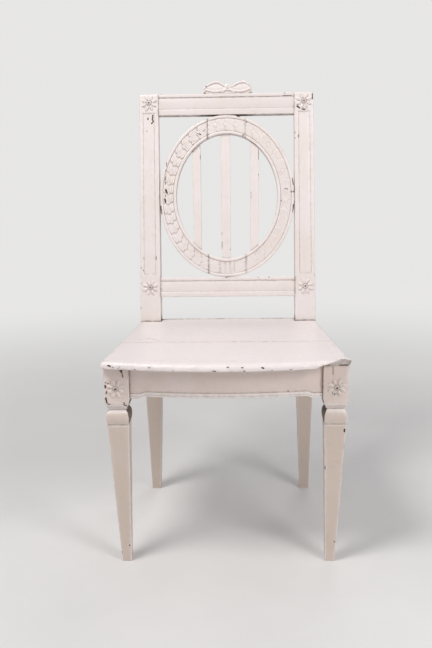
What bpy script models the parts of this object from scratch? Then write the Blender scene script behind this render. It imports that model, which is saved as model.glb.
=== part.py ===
"""A painted side chair: square tapered legs, a bowed plank seat and a raked back with an oval medallion.

The chair stands on its four feet and faces -Y. It is symmetric about X = 0, apart from the shifted bars and bow, the
run of the carved leaves and the broken front right corner of the seat. Its origin is on the floor, under the middle
of its outline. Metres throughout.
"""

import math

import bmesh
import bpy
import numpy as np
from mathutils import Vector

# Fit
CLEARANCE = 0.0003

# Seat frame in plan, measured from the axis of the front legs
LEG_SPREAD = 0.423
FRAME_DEPTH = 0.3071
BACK_OPENING = 0.307

# Seat
SEAT_HEIGHT = 0.431
SEAT_THICKNESS = 0.014
SEAT_BOW = 0.028
SEAT_FRONT_OVERHANG = 0.0195
SEAT_SIDE_OVERHANG = 0.0025
SEAT_REAR_REACH = 0.0284
SEAT_SEAM = 0.1095
SEAT_NOSING = 0.006
SEAT_NOSING_STEPS = 3
SEAT_FRONT_STEPS = 20
# Broken front right corner: points of the split, in from the seat's side and back from its corner
SPLIT_TOP = ((0.035, -0.0077), (0.0173, 0.0095), (-0.006, -0.0037))
SPLIT_BOTTOM = ((0.0705, 0.0165), (0.0173, 0.0165), (-0.006, -0.0062))
SPLIT_RUN = 0.05
TONGUE_LENGTH = 0.36
TONGUE_REACH = 0.006
TONGUE_THICKNESS = 0.005

# Front legs: widths of the square sections, and their distances down from the top of the leg
LEG_BLOCK = 0.049
LEG_BLOCK_LENGTH = 0.0757
LEG_BEAD = 0.0405
LEG_BEAD_DOWN = 0.0832
LEG_NECK = 0.0355
LEG_NECK_DOWN = 0.0867
LEG_DOME_DOWN = 0.0892
LEG_DOME = 0.0465
LEG_BULGE_DOWN = 0.1067
LEG_COLLAR = 0.0445
LEG_COLLAR_DOWN = 0.1182
LEG_GROOVE = 0.041
LEG_TOP = 0.043
LEG_TAPER_DOWN = 0.1202
LEG_FOOT = 0.019
LEG_FOOT_INSET = 0.0055
LEG_DOME_STEPS = 6

# Rear posts, one piece from the foot to the crest
POST_WIDTH_SEAT = 0.0468
POST_WIDTH_TOP = 0.0425
POST_DEPTH_SEAT = 0.036
POST_DEPTH_TOP = 0.024
POST_KNEE_DOWN = 0.079
POST_WIDTH_KNEE = 0.0445
POST_FOOT = 0.0215
POST_FOOT_SPREAD = 0.3606
POST_FOOT_BACK = 0.0471
BACK_LENGTH = 0.514
BACK_RAKE = math.radians(9.94)

# Mouldings on the back
PANEL_TOP = 0.4727
PANEL_BOTTOM = 0.106
PANEL_END = 0.0008
BEAD_WIDTH = 0.008
FIELD_DEPTH = 0.0014
FIELD_CROWN = 0.0008
GROOVE_WIDTH = 0.0016
BEAD_FLAT = 0.25

# Rails of the back, as distances up the raked face
CREST_HEIGHT = 0.0475
CREST_LOWER_BAND = 0.0135
LOWER_RAIL_BOTTOM = 0.0555
LOWER_RAIL_HEIGHT = 0.0445
LOWER_RAIL_BAND = 0.0115
BACK_RAIL_THICKNESS = 0.022
BACK_RAIL_SETBACK = 0.001

# Medallion
RING_BAND_SIDE = 0.038
RING_BAND_TOP = 0.042
RING_THICKNESS = 0.022
RING_BEAD = 0.0072
RING_BEAD_ROUND = ((0.2, 0.1), (0.5, 0.0), (0.8, 0.15))
RING_GROUND = 0.0032
RING_JOINT = 0.0425
RING_MEASURE_STEPS = 90

# Leaves carved between the medallion's beads: places across, leads and depths are shares of ground and pitch
LEAF_PITCH = 0.022
LEAF_EDGE = 0.0006
LEAF_ACROSS = (1 / 6, 1 / 3, 1 / 2, 2 / 3, 5 / 6)
LEAF_LEAD = (0.14, 0.0, 0.27, 0.0, 0.14)
LEAF_TIP = (0.3, 0.65, 0.1, 0.65, 0.3)
LEAF_MIDDLE = (0.55, 0.82, 0.4, 0.82, 0.55)
STRAPS = 3
STRAP_SPAN = 0.4
STRAP_GAP = 0.35
STRAP_DEPTH = (0.4, 0.25, 0.2, 0.25, 0.4)

# Rosettes: rings of a star flower, as shares of its radius and of its height at the petals and between them
ROSETTE_PETALS = 8
ROSETTE_POST_RADIUS = 0.017
ROSETTE_LEG_RADIUS = 0.018
ROSETTE_HEIGHT = 0.0028
ROSETTE_WAIST = 0.84
ROSETTE_RINGS = ((1.0, -0.8, -0.8), (1.0, 0.35, 0.1), (0.72, 0.9, 0.3), (0.45, 0.75, 0.3), (0.31, 0.3, 0.3),
                 (0.27, 0.85, 0.85), (0.13, 1.0, 1.0), (0.07, 0.5, 0.5))
ROSETTE_TOP_DOWN = 0.0195
ROSETTE_LEG_DOWN = 0.0447

# Splats
SPLAT_WIDTH = 0.0172
SPLAT_MIDDLE_WIDTH = 0.0205
SPLAT_SPACING = 0.0655
SPLAT_SHIFT = -0.0025
SPLAT_THICKNESS = 0.011
SPLAT_SETBACK = 0.0065
SPLAT_HOUSING = 0.012
SPLAT_CHAMFER = 0.0012

# Bow: its loops' peaks and ends are shares of the half width and of the height
BOW_SHIFT = 0.0037
BOW_HALF_WIDTH = 0.055
BOW_HEIGHT = 0.028
BOW_THICKNESS = 0.012
BOW_SETBACK = 0.001
BOW_DOWEL_SPREAD = 0.044
BOW_PEAKS = {-1: 0.46, 1: 0.62}
BOW_DIP = 0.6
BOW_TIP = 0.42
BOW_FOOT = 0.8
BOW_RIBBON = 0.0045
BOW_RIBBON_FALL = 0.0014
BOW_GROUND = 0.0035
BOW_PILLOW = 0.001
BOW_LEDGE = 0.0022
BOW_SLOPE = 0.0005
BOW_EYE_LEAST = 0.0015
BOW_STEPS = 14
KNOT_RADIUS = 0.0062
KNOT_PROUD = 0.001
KNOT_SIDES = 12
KNOT_RINGS = ((1.0, 1.0), (1.0, 0.2), (0.8, -0.5), (0.35, -1.0), (0.15, -0.9), (0.1, 0.1))

# Rails of the seat
RAIL_THICKNESS = 0.022
FRONT_RAIL_HEIGHT = 0.0662
FRONT_RAIL_RISE = 0.005
FRONT_RAIL_SETBACK = 0.008
FRONT_RAIL_BOW = 0.020
FRONT_RAIL_BEAD = 0.008
FRONT_RAIL_BEAD_OUT = 0.002
FRONT_RAIL_BEAD_ROUND = ((0.75, 0.8), (0.5, 1.0), (0.2, 0.8))
FRONT_RAIL_STEPS = 7
OGEE_STEPS = 4
OGEE_OUTER = 0.171
OGEE_INNER = 0.153
SIDE_RAIL_HEIGHT = 0.0607
SIDE_RAIL_SETBACK = 0.002
REAR_RAIL_HEIGHT = 0.0547
REAR_RAIL_SETBACK = 0.001
CORNER_BLOCK_HEIGHT = 0.04
CORNER_BLOCK_REACH = 0.05
CORNER_BLOCK_STEPS = 4

# Joints
TENON_LENGTH = 0.021
TENON_THICKNESS = 0.009
TENON_SHOULDER = 0.008
PEG_DIAMETER = 0.006
PEG_SIDES = 8
PEG_OFFSET = 0.010
PEG_PAST = 0.003
DOWEL_DIAMETER = 0.007
DOWEL_REACH = 0.012
BOW_DOWEL_DIAMETER = 0.004
BOW_DOWEL_REACH = 0.006
BOW_DOWEL_DEPTH = 0.6

# Paint and bare wood
PAINT = (0.83, 0.77, 0.73)
BARE_WOOD = (0.36, 0.25, 0.16)

# Worked out from the sizes above
SEAT_UNDERSIDE = SEAT_HEIGHT - SEAT_THICKNESS
RAIL_TOP = SEAT_UNDERSIDE - CLEARANCE
FRONT_RAIL_BOTTOM = RAIL_TOP - FRONT_RAIL_HEIGHT
SIDE_RAIL_BOTTOM = RAIL_TOP - SIDE_RAIL_HEIGHT
REAR_RAIL_BOTTOM = RAIL_TOP - REAR_RAIL_HEIGHT
POST_KNEE = SEAT_HEIGHT - POST_KNEE_DOWN
LEG_TAPER_TOP = RAIL_TOP - LEG_TAPER_DOWN
LEG_BULGE = RAIL_TOP - LEG_BULGE_DOWN
LEG_DOME_TOP = RAIL_TOP - LEG_DOME_DOWN
LEG_X = LEG_SPREAD / 2
LEG_INNER = LEG_X - LEG_BLOCK / 2
LEG_OUTER = LEG_X + LEG_BLOCK / 2
LEG_FRONT = -LEG_BLOCK / 2
LEG_BACK = LEG_BLOCK / 2
POST_INNER = BACK_OPENING / 2
POST_OUTER = POST_INNER + POST_WIDTH_SEAT
POST_FRONT = FRAME_DEPTH
SEAT_FRONT = LEG_FRONT - SEAT_FRONT_OVERHANG
SEAT_REAR = POST_FRONT + SEAT_REAR_REACH
SEAT_FRONT_HALF = LEG_OUTER + SEAT_SIDE_OVERHANG
SEAT_REAR_HALF = POST_OUTER
CREST_BOTTOM = BACK_LENGTH - CREST_HEIGHT
LOWER_RAIL_TOP = LOWER_RAIL_BOTTOM + LOWER_RAIL_HEIGHT
RING_CENTRE = (CREST_BOTTOM + LOWER_RAIL_TOP) / 2
RING_OUTER = (POST_INNER - CLEARANCE, (CREST_BOTTOM - LOWER_RAIL_TOP) / 2 - CLEARANCE)
RING_INNER = (RING_OUTER[0] - RING_BAND_SIDE, RING_OUTER[1] - RING_BAND_TOP)
RING_FRONT = BACK_RAIL_SETBACK
RING_MIDDLE = RING_FRONT + RING_THICKNESS / 2
REAR_EDGE = POST_FRONT + BACK_LENGTH * math.sin(BACK_RAKE) + POST_DEPTH_TOP * math.cos(BACK_RAKE)
FRONT_EDGE = SEAT_FRONT - SEAT_BOW
MIDDLE_Y = (REAR_EDGE + FRONT_EDGE) / 2

SIDES = {"left": -1, "right": 1}


def clear_scene():
    for item in list(bpy.data.objects):
        bpy.data.objects.remove(item, do_unlink=True)


def material(name, colour, roughness):
    made = bpy.data.materials.new(name)
    made.use_nodes = True
    shader = made.node_tree.nodes["Principled BSDF"]
    shader.inputs["Base Color"].default_value = (*colour, 1.0)
    shader.inputs["Roughness"].default_value = roughness
    shader.inputs["Metallic"].default_value = 0.0
    return made


def empty(name, parent=None, location=(0, 0, 0), rotation=(0, 0, 0)):
    made = bpy.data.objects.new(name, None)
    bpy.context.scene.collection.objects.link(made)
    made.parent = parent
    made.location = location
    made.rotation_euler = rotation
    return made


def add_object(name, bm, parent, location=(0, 0, 0), colour=PAINT, roughness=0.4, smooth=None):
    mesh = bpy.data.meshes.new(name)
    bm.to_mesh(mesh)
    bm.free()
    made = bpy.data.objects.new(name, mesh)
    bpy.context.scene.collection.objects.link(made)
    made.parent = parent
    made.location = location
    mesh.materials.append(material(name + "_finish", colour, roughness))
    if smooth:
        mesh.shade_smooth()
        mesh.set_sharp_from_angle(angle=math.radians(smooth))
    return made


def boolean(target, tool, operation="DIFFERENCE"):
    """Join or cut target with tool, which stays as a hidden guide."""
    tool.hide_render = True
    tool.display_type = "WIRE"
    change = target.modifiers.new(operation.lower() + "_" + tool.name, "BOOLEAN")
    change.operation = operation
    change.object = tool
    change.solver = "EXACT"


def loft(rings):
    """A closed solid through rings of as many points each, from the first to the last."""
    bm = bmesh.new()
    loops = [[bm.verts.new(point) for point in ring] for ring in rings]
    count = len(loops[0])
    for low, high in zip(loops, loops[1:]):
        for i in range(count):
            j = (i + 1) % count
            bm.faces.new((low[i], low[j], high[j], high[i]))
    bm.faces.new(loops[0][::-1])
    bm.faces.new(loops[-1])
    bmesh.ops.recalc_face_normals(bm, faces=bm.faces)
    return bm


def rectangle(x0, x1, y0, y1, z):
    return [(x0, y0, z), (x1, y0, z), (x1, y1, z), (x0, y1, z)]


def block(x0, x1, y0, y1, z0, z1):
    return loft([rectangle(x0, x1, y0, y1, z0), rectangle(x0, x1, y0, y1, z1)])


def centred_block(size, grow=0.0):
    half = [value / 2 + grow for value in size]
    return block(-half[0], half[0], -half[1], half[1], -half[2], half[2])


def rod(diameter, length, sides=PEG_SIDES):
    """A round rod along Z, centred on its origin."""
    bm = bmesh.new()
    bmesh.ops.create_cone(bm, cap_ends=True, segments=sides, radius1=diameter / 2, radius2=diameter / 2,
                          depth=length)
    return bm


def pin(name, parent, start, end, diameter, through):
    """A wooden pin between two points on a line along X, Y or Z, and its hole in each piece on its way."""
    start = Vector(start)
    way = Vector(end) - start
    turn = Vector((0, 0, 1)).rotation_difference(way).to_euler()
    length = way.length
    middle = start + way / 2
    made = add_object(name, rod(diameter, length), parent, middle, BARE_WOOD, 0.6, smooth=40)
    made.rotation_euler = turn
    hole = add_object(name + "_hole", rod(diameter + 2 * CLEARANCE, length + 2 * CLEARANCE), parent, middle)
    hole.rotation_euler = turn
    for piece in through:
        boolean(piece, hole)


def tenon(rail, socket, parent, centre, size):
    """A tenon on a rail, which runs back into it by a shoulder's width, and its mortise in the socket piece."""
    bar = add_object(f"{rail.name}_tenon_{socket.name}", centred_block(size), parent, centre)
    boolean(rail, bar, "UNION")
    pocket = add_object(f"{socket.name}_mortise_{rail.name}", centred_block(size, CLEARANCE), parent, centre)
    boolean(socket, pocket)


def leg_profile():
    """Heights and widths of the square front leg, from the foot up."""
    collar = RAIL_TOP - LEG_COLLAR_DOWN
    neck = RAIL_TOP - LEG_NECK_DOWN
    points = [(0.0, LEG_FOOT), (LEG_TAPER_TOP, LEG_TOP), (LEG_TAPER_TOP, LEG_GROOVE), (collar, LEG_GROOVE),
              (collar, LEG_COLLAR)]
    for i in range(LEG_DOME_STEPS + 1):
        turn = math.pi / 2 * i / LEG_DOME_STEPS
        height = LEG_BULGE + (LEG_DOME_TOP - LEG_BULGE) * math.sin(turn)
        width = LEG_NECK + (LEG_DOME - LEG_NECK) * math.cos(turn)
        points.append((height, width))
    points += [(neck, LEG_NECK), (neck, LEG_BEAD), (RAIL_TOP - LEG_BEAD_DOWN, LEG_BEAD),
               (RAIL_TOP - LEG_BLOCK_LENGTH, LEG_BLOCK), (RAIL_TOP, LEG_BLOCK)]
    return points


def front_leg(name, side, parent):
    rings = []
    for height, width in leg_profile():
        down = max(0.0, 1 - height / LEG_TAPER_TOP)
        inset = -side * LEG_FOOT_INSET * down
        half = width / 2
        rings.append(rectangle(inset - half, inset + half, -half, half, height))
    return add_object(name, loft(rings), parent, (side * LEG_X, 0, 0))


def raked(x, depth, height):
    """A point of the back, from its distance behind and up the raked front face, seen from the chair."""
    return (x, POST_FRONT + height * math.sin(BACK_RAKE) + depth * math.cos(BACK_RAKE),
            SEAT_HEIGHT + height * math.cos(BACK_RAKE) - depth * math.sin(BACK_RAKE))


def post_face(inner, outer, sunk):
    """Distances across the front face of a post from its inner edge, each with its depth."""
    width = outer - inner
    field = FIELD_DEPTH * sunk
    crown = (FIELD_DEPTH - FIELD_CROWN) * sunk
    edge = FIELD_DEPTH / 2 * sunk
    half = [(0.0, edge), (BEAD_WIDTH * BEAD_FLAT, 0.0), (BEAD_WIDTH * (1 - BEAD_FLAT), 0.0),
            (BEAD_WIDTH, field), (BEAD_WIDTH + GROOVE_WIDTH, field)]
    across = half + [(width / 2, crown)] + [(width - d, depth) for d, depth in reversed(half)]
    return [(inner + d, depth) for d, depth in across]


def post_depth(height):
    """Depth of a post at a distance up its raked front face."""
    return POST_DEPTH_SEAT + (POST_DEPTH_TOP - POST_DEPTH_SEAT) * height / BACK_LENGTH


def post_outer(z):
    """Outer side of a post at a level between its knee and the seat."""
    share = (z - POST_KNEE) / (SEAT_HEIGHT - POST_KNEE)
    return POST_INNER + POST_WIDTH_KNEE + (POST_WIDTH_SEAT - POST_WIDTH_KNEE) * share


def post_ring(side, height, sunk):
    """One section of a post, square to its raked front face."""
    outer = POST_OUTER + (POST_WIDTH_TOP - POST_WIDTH_SEAT) * height / BACK_LENGTH
    depth = post_depth(height)
    ring = [raked(side * x, d, height) for x, d in post_face(POST_INNER, outer, sunk)]
    return ring + [raked(side * outer, depth, height), raked(side * POST_INNER, depth, height)]


def post_leg_ring(side, height, inner, outer, front, depth):
    """One level section of the rear leg, with the same points as the sections above it."""
    ring = [(side * x, front + d, height) for x, d in post_face(inner, outer, 0.0)]
    return ring + [(side * outer, front + depth, height), (side * inner, front + depth, height)]


def rear_post(name, side, parent):
    foot_inner = POST_FOOT_SPREAD / 2 - POST_FOOT / 2
    rings = [post_leg_ring(side, 0.0, foot_inner, foot_inner + POST_FOOT, POST_FRONT + POST_FOOT_BACK,
                           POST_FOOT),
             post_leg_ring(side, POST_KNEE, POST_INNER, POST_INNER + POST_WIDTH_KNEE, POST_FRONT,
                           POST_DEPTH_SEAT),
             post_leg_ring(side, SEAT_HEIGHT, POST_INNER, POST_OUTER, POST_FRONT, POST_DEPTH_SEAT)]
    stations = [(LOWER_RAIL_BOTTOM, 0.0), (PANEL_BOTTOM, 0.0), (PANEL_BOTTOM + PANEL_END, 1.0),
                (PANEL_TOP - PANEL_END, 1.0), (PANEL_TOP, 0.0), (BACK_LENGTH, 0.0)]
    rings += [post_ring(side, height, sunk) for height, sunk in stations]
    origin = Vector((side * POST_INNER, POST_FRONT, SEAT_HEIGHT))
    return add_object(name, loft([[Vector(p) - origin for p in ring] for ring in rings]), parent, origin)


def rail_profile(height, lower_band, thickness):
    """The moulded section of a rail of the back: depth and height from its top front corner down."""
    crown = FIELD_DEPTH - FIELD_CROWN
    middle = (BEAD_WIDTH + height - lower_band) / 2
    return [(FIELD_DEPTH / 2, 0.0), (0.0, BEAD_WIDTH * BEAD_FLAT), (0.0, BEAD_WIDTH * (1 - BEAD_FLAT)),
            (FIELD_DEPTH, BEAD_WIDTH), (FIELD_DEPTH, BEAD_WIDTH + GROOVE_WIDTH), (crown, middle),
            (FIELD_DEPTH, height - lower_band - GROOVE_WIDTH), (FIELD_DEPTH, height - lower_band),
            (0.0, height - lower_band + GROOVE_WIDTH), (0.0, height - FIELD_DEPTH), (FIELD_DEPTH, height),
            (thickness, height), (thickness, 0.0)]


def back_rail(name, top, height, lower_band, parent):
    profile = rail_profile(height, lower_band, BACK_RAIL_THICKNESS)
    end = POST_INNER - CLEARANCE
    rings = [[(x, depth, -down) for depth, down in profile] for x in (-end, end)]
    return add_object(name, loft(rings), parent, (0, BACK_RAIL_SETBACK, top))


def ring_angle(half_width, x):
    return math.acos(max(-1.0, min(1.0, x / half_width)))


def ring_edges(start, end, share):
    """Inner and outer edge of the medallion's band at a share of the way along a piece."""
    return [Vector((half[0] * math.cos(first + (last - first) * share), 0,
                    half[1] * math.sin(first + (last - first) * share)))
            for half, first, last in zip((RING_INNER, RING_OUTER), start, end)]


def measured(start, end):
    """Shares of the way along a piece, and the distances along the middle of its band that they stand for."""
    shares = np.linspace(0.0, 1.0, RING_MEASURE_STEPS + 1)
    middle = [sum(ring_edges(start, end, share), Vector()) / 2 for share in shares]
    lengths = [(b - a).length for a, b in zip(middle, middle[1:])]
    return shares, np.concatenate(([0.0], np.cumsum(lengths)))


def leaf_rows(start, end):
    """Rows of carved leaves between two distances along the band, with the leads and depths across each."""
    count = max(1, round((end - start) / LEAF_PITCH))
    pitch = (end - start) / count
    level = (0.0,) * len(LEAF_ACROSS)
    ground = (1.0,) * len(LEAF_ACROSS)
    rows = [(start, level, ground)]
    for i in range(1, count + 1):
        last = i == count
        leads = level if last else tuple(lead * pitch for lead in LEAF_LEAD)
        rows.append((start + (i - 0.5) * pitch, tuple(lead / 2 for lead in leads), LEAF_MIDDLE))
        rows.append((start + i * pitch, leads, LEAF_TIP))
        if not last:
            rows.append((start + i * pitch + LEAF_EDGE, leads, ground))
    return rows


def strap_rows(start, end):
    """Rows of the straps that tie the leaves together."""
    pitch = (end - start) / STRAPS
    level = (0.0,) * len(LEAF_ACROSS)
    ground = (1.0,) * len(LEAF_ACROSS)
    rows = []
    for i in range(STRAPS):
        low = start + pitch * (i + STRAP_GAP / 2)
        high = start + pitch * (i + 1 - STRAP_GAP / 2)
        rows += [(low, level, ground), (low + LEAF_EDGE, level, STRAP_DEPTH),
                 (high - LEAF_EDGE, level, STRAP_DEPTH), (high, level, ground)]
    return rows


def ring_section(start, end, measure, row):
    """One section across the medallion's band, round from its inner edge over the carving to the back."""
    along, leads, depths = row
    shares, distances = measure
    inner, outer = ring_edges(start, end, np.interp(along, distances, shares))
    band = (outer - inner).length
    bead = [(RING_BEAD * across, RING_GROUND * sunk) for across, sunk in RING_BEAD_ROUND]
    edge = [(0.0, RING_GROUND / 2)] + bead + [(RING_BEAD, RING_GROUND)]
    ring = [inner.lerp(outer, d / band) + Vector((0, depth, 0)) for d, depth in edge]
    for across, lead, sunk in zip(LEAF_ACROSS, leads, depths):
        near, far = ring_edges(start, end, np.interp(along + lead, distances, shares))
        width = (far - near).length
        place = near.lerp(far, (RING_BEAD + (width - 2 * RING_BEAD) * across) / width)
        ring.append(place + Vector((0, RING_GROUND * sunk, 0)))
    ring += [outer.lerp(inner, d / band) + Vector((0, depth, 0)) for d, depth in reversed(edge)]
    back = Vector((0, RING_THICKNESS, 0))
    return ring + [outer + back, inner + back]


def ring_piece(name, start, end, parent, tied=False):
    """One piece of the medallion between two joints, each given as its inner and outer angle."""
    measure = measured(start, end)
    length = measure[1][-1]
    if tied:
        low = length * (1 - STRAP_SPAN) / 2
        high = length - low
        rows = leaf_rows(0.0, low) + strap_rows(low, high) + leaf_rows(high, length)
    else:
        rows = leaf_rows(0.0, length)
    sections = [ring_section(start, end, measure, row) for row in rows]
    return add_object(name, loft(sections), parent, (0, RING_FRONT, RING_CENTRE), smooth=30)


def upright_joint(x, above):
    """Inner and outer angle of an upright joint through the band, above or below the centre."""
    angles = (ring_angle(RING_INNER[0], x), ring_angle(RING_OUTER[0], x))
    return angles if above else tuple(-angle for angle in angles)


def medallion(parent):
    near = RING_JOINT - CLEARANCE / 2
    far = RING_JOINT + CLEARANCE / 2
    turn = 2 * math.pi
    left_end = tuple(turn + angle for angle in upright_joint(-far, False))
    return {
        "top": ring_piece("medallion_top", upright_joint(near, True), upright_joint(-near, True), parent),
        "bottom": ring_piece("medallion_bottom", upright_joint(-near, False), upright_joint(near, False),
                             parent, tied=True),
        "left": ring_piece("medallion_left", upright_joint(-far, True), left_end, parent),
        "right": ring_piece("medallion_right", upright_joint(far, False), upright_joint(far, True), parent),
    }


def splat_section(width, thickness, chamfer, z):
    half = width / 2
    return [(-half, chamfer, z), (-half + chamfer, 0, z), (half - chamfer, 0, z), (half, chamfer, z),
            (half, thickness, z), (-half, thickness, z)]


def splat(name, x, width, sockets, parent):
    """An upright bar housed in the medallion's inner edge at both ends."""
    reach = RING_INNER[1] * math.sin(ring_angle(RING_INNER[0], x)) + SPLAT_HOUSING
    rings = [splat_section(width, SPLAT_THICKNESS, SPLAT_CHAMFER, z) for z in (-reach, reach)]
    place = (x, SPLAT_SETBACK, RING_CENTRE)
    made = add_object(name, loft(rings), parent, place)
    half = width / 2 + CLEARANCE
    housing = block(-half, half, -CLEARANCE, SPLAT_THICKNESS + CLEARANCE, -reach - CLEARANCE,
                    reach + CLEARANCE)
    cutter = add_object(name + "_housing", housing, parent, place)
    for socket in sockets:
        boolean(socket, cutter)
    return made


def bow_top(across):
    """Top edge of the bow at a share of its half width, left of the knot where that is negative."""
    peak = BOW_PEAKS[-1 if across < 0 else 1]
    share = abs(across)
    if share < peak:
        rise = BOW_DIP + (1 - BOW_DIP) * (1 - math.cos(math.pi * share / peak)) / 2
    else:
        rise = 1 - (1 - BOW_TIP) * ((share - peak) / (1 - peak)) ** 2
    return BOW_HEIGHT * rise


def bow_section(across):
    """An upright section of the bow: foot, lower ribbon, sunk eye of the loop, upper ribbon and back."""
    top = bow_top(across)
    tuck = max(0.0, (abs(across) - BOW_FOOT) / (1 - BOW_FOOT))
    low = (top - 2 * BOW_RIBBON - BOW_EYE_LEAST) * tuck * tuck
    room = (top - low - 2 * BOW_RIBBON) * math.sqrt(max(0.0, math.sin(math.pi * abs(across))))
    eye_top = top - BOW_RIBBON
    eye_low = eye_top - max(BOW_EYE_LEAST, room - BOW_LEDGE)
    foot = max(low + BOW_SLOPE, eye_low - BOW_RIBBON)
    sunk = BOW_GROUND * min(1.0, (eye_top - eye_low) / BOW_RIBBON)
    front = [(low, BOW_GROUND), (foot, BOW_GROUND), ((foot + eye_low) / 2, BOW_RIBBON_FALL / 2),
             (eye_low, BOW_RIBBON_FALL), (eye_low + BOW_SLOPE, max(sunk, BOW_RIBBON_FALL)),
             ((eye_low + eye_top) / 2, max(sunk - BOW_PILLOW, BOW_RIBBON_FALL)),
             (eye_top - BOW_SLOPE, max(sunk, BOW_RIBBON_FALL)), (eye_top, BOW_RIBBON_FALL),
             (top - BOW_RIBBON / 2, 0.0), (top, BOW_RIBBON_FALL)]
    x = BOW_HALF_WIDTH * across
    return [(x, depth, z) for z, depth in front + [(top, BOW_THICKNESS), (low, BOW_THICKNESS)]]


def crest_bow(name, parent):
    place = Vector((BOW_SHIFT, BOW_SETBACK, BACK_LENGTH + CLEARANCE))
    sections = [bow_section(i / BOW_STEPS - 1) for i in range(2 * BOW_STEPS + 1)]
    made = add_object(name, loft(sections), parent, place, smooth=40)
    rings = []
    for share, depth in KNOT_RINGS:
        y = depth * (BOW_GROUND + KNOT_PROUD if depth > 0 else KNOT_PROUD)
        rings.append([(KNOT_RADIUS * share * math.cos(turn), y, KNOT_RADIUS * share * math.sin(turn))
                      for turn in (2 * math.pi * i / KNOT_SIDES for i in range(KNOT_SIDES))])
    knot = add_object(name + "_knot", loft(rings), parent, place + Vector((0, 0, BOW_HEIGHT * BOW_DIP)))
    boolean(made, knot, "UNION")
    return made


def rosette(target, parent, place, radius):
    """A star flower carved on a face that looks to -Y, with its root sunk in the target piece."""
    points = 2 * ROSETTE_PETALS
    rings = []
    for share, petal, between in ROSETTE_RINGS:
        ring = []
        for i in range(points):
            turn = 2 * math.pi * i / points
            reach = radius * share * (ROSETTE_WAIST if i % 2 and share > 0.5 else 1.0)
            height = ROSETTE_HEIGHT * (between if i % 2 else petal)
            ring.append((reach * math.cos(turn), -height, reach * math.sin(turn)))
        rings.append(ring)
    flower = add_object(target.name + "_rosette", loft(rings), parent, place)
    boolean(target, flower, "UNION")


def seat_front(x, inset):
    """Front edge of the seat at x."""
    return SEAT_FRONT - SEAT_BOW * (1 - (x / SEAT_FRONT_HALF) ** 2) + inset


def seat_half(y):
    """Half width of the seat at y."""
    share = (y - SEAT_FRONT) / (POST_FRONT - SEAT_FRONT)
    return SEAT_FRONT_HALF + (SEAT_REAR_HALF - SEAT_FRONT_HALF) * share


def front_plank_outline(inset):
    side_front = seat_half(SEAT_FRONT) - inset
    points = []
    for i in range(SEAT_FRONT_STEPS + 1):
        x = side_front * (2 * i / SEAT_FRONT_STEPS - 1)
        points.append((x, seat_front(x, inset)))
    seam = SEAT_SEAM - CLEARANCE / 2
    side_seam = seat_half(seam) - inset
    return points + [(side_seam, seam), (-side_seam, seam)]


def rear_plank_outline(inset):
    seam = SEAT_SEAM + CLEARANCE / 2
    notch_y = POST_FRONT - CLEARANCE
    notch_x = POST_INNER - CLEARANCE
    right = [(seat_half(seam) - inset, seam), (seat_half(notch_y) - inset, notch_y), (notch_x, notch_y),
             (notch_x, SEAT_REAR - inset)]
    return right + [(-x, y) for x, y in reversed(right)]


def nosed_board(outline):
    """A board with a rounded edge, from the outline that a given inset leaves."""
    flat = SEAT_THICKNESS / 2 - SEAT_NOSING
    rings = []
    for centre, start in ((SEAT_THICKNESS / 2 - flat, -90), (SEAT_THICKNESS / 2 + flat, 0)):
        for i in range(SEAT_NOSING_STEPS + 1):
            turn = math.radians(start + 90 * i / SEAT_NOSING_STEPS)
            height = centre + SEAT_NOSING * math.sin(turn)
            inset = SEAT_NOSING * (1 - math.cos(turn))
            rings.append([(x, y, height) for x, y in outline(inset)])
    return loft(rings)


def split_ring(points, height):
    """Outline of the wood lost at the broken corner, open to the front, at a height above the seat's underside."""
    ring = [(SEAT_FRONT_HALF - inward, SEAT_FRONT + back, height) for inward, back in points]
    ahead = SEAT_FRONT - SPLIT_RUN
    return ring + [(ring[-1][0], ahead, height), (ring[0][0], ahead, height)]


def seat(parent):
    front = add_object("seat_plank_front", nosed_board(front_plank_outline), parent, (0, 0, SEAT_UNDERSIDE),
                       smooth=30)
    rear = add_object("seat_plank_rear", nosed_board(rear_plank_outline), parent, (0, 0, SEAT_UNDERSIDE),
                      smooth=30)
    place = (0, SEAT_SEAM, SEAT_UNDERSIDE + SEAT_THICKNESS / 2)
    size = (TONGUE_LENGTH, 2 * TONGUE_REACH, TONGUE_THICKNESS)
    tongue = add_object("seat_tongue", centred_block(size), parent, place)
    boolean(rear, tongue, "UNION")
    groove = add_object("seat_groove", centred_block(size, CLEARANCE), parent, place)
    boolean(front, groove)
    rings = [split_ring(SPLIT_BOTTOM, -CLEARANCE), split_ring(SPLIT_TOP, SEAT_THICKNESS + CLEARANCE)]
    split = add_object("seat_split", loft(rings), parent, (0, 0, SEAT_UNDERSIDE))
    boolean(front, split)


def front_rail_face(x):
    """Front face of the bowed front rail at x."""
    ends = LEG_FRONT + FRONT_RAIL_SETBACK
    return ends - FRONT_RAIL_BOW * (1 - (x / LEG_INNER) ** 2)


def front_rail_lower_edge(x):
    share = (OGEE_OUTER - abs(x)) / (OGEE_OUTER - OGEE_INNER)
    share = max(0.0, min(1.0, share))
    return FRONT_RAIL_BOTTOM + FRONT_RAIL_RISE * share * share * (3 - 2 * share)


def front_rail_section(x):
    face = front_rail_face(x)
    low = front_rail_lower_edge(x)
    bead = FRONT_RAIL_BEAD
    out = FRONT_RAIL_BEAD_OUT
    upper = [(x, face, RAIL_TOP), (x, face, low + bead + out / 2), (x, face + out / 3, low + bead)]
    rounding = [(x, face - out * proud, low + bead * up) for up, proud in FRONT_RAIL_BEAD_ROUND]
    back = [(x, face, low), (x, face + RAIL_THICKNESS, low), (x, face + RAIL_THICKNESS, RAIL_TOP)]
    return upper + rounding + back


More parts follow.
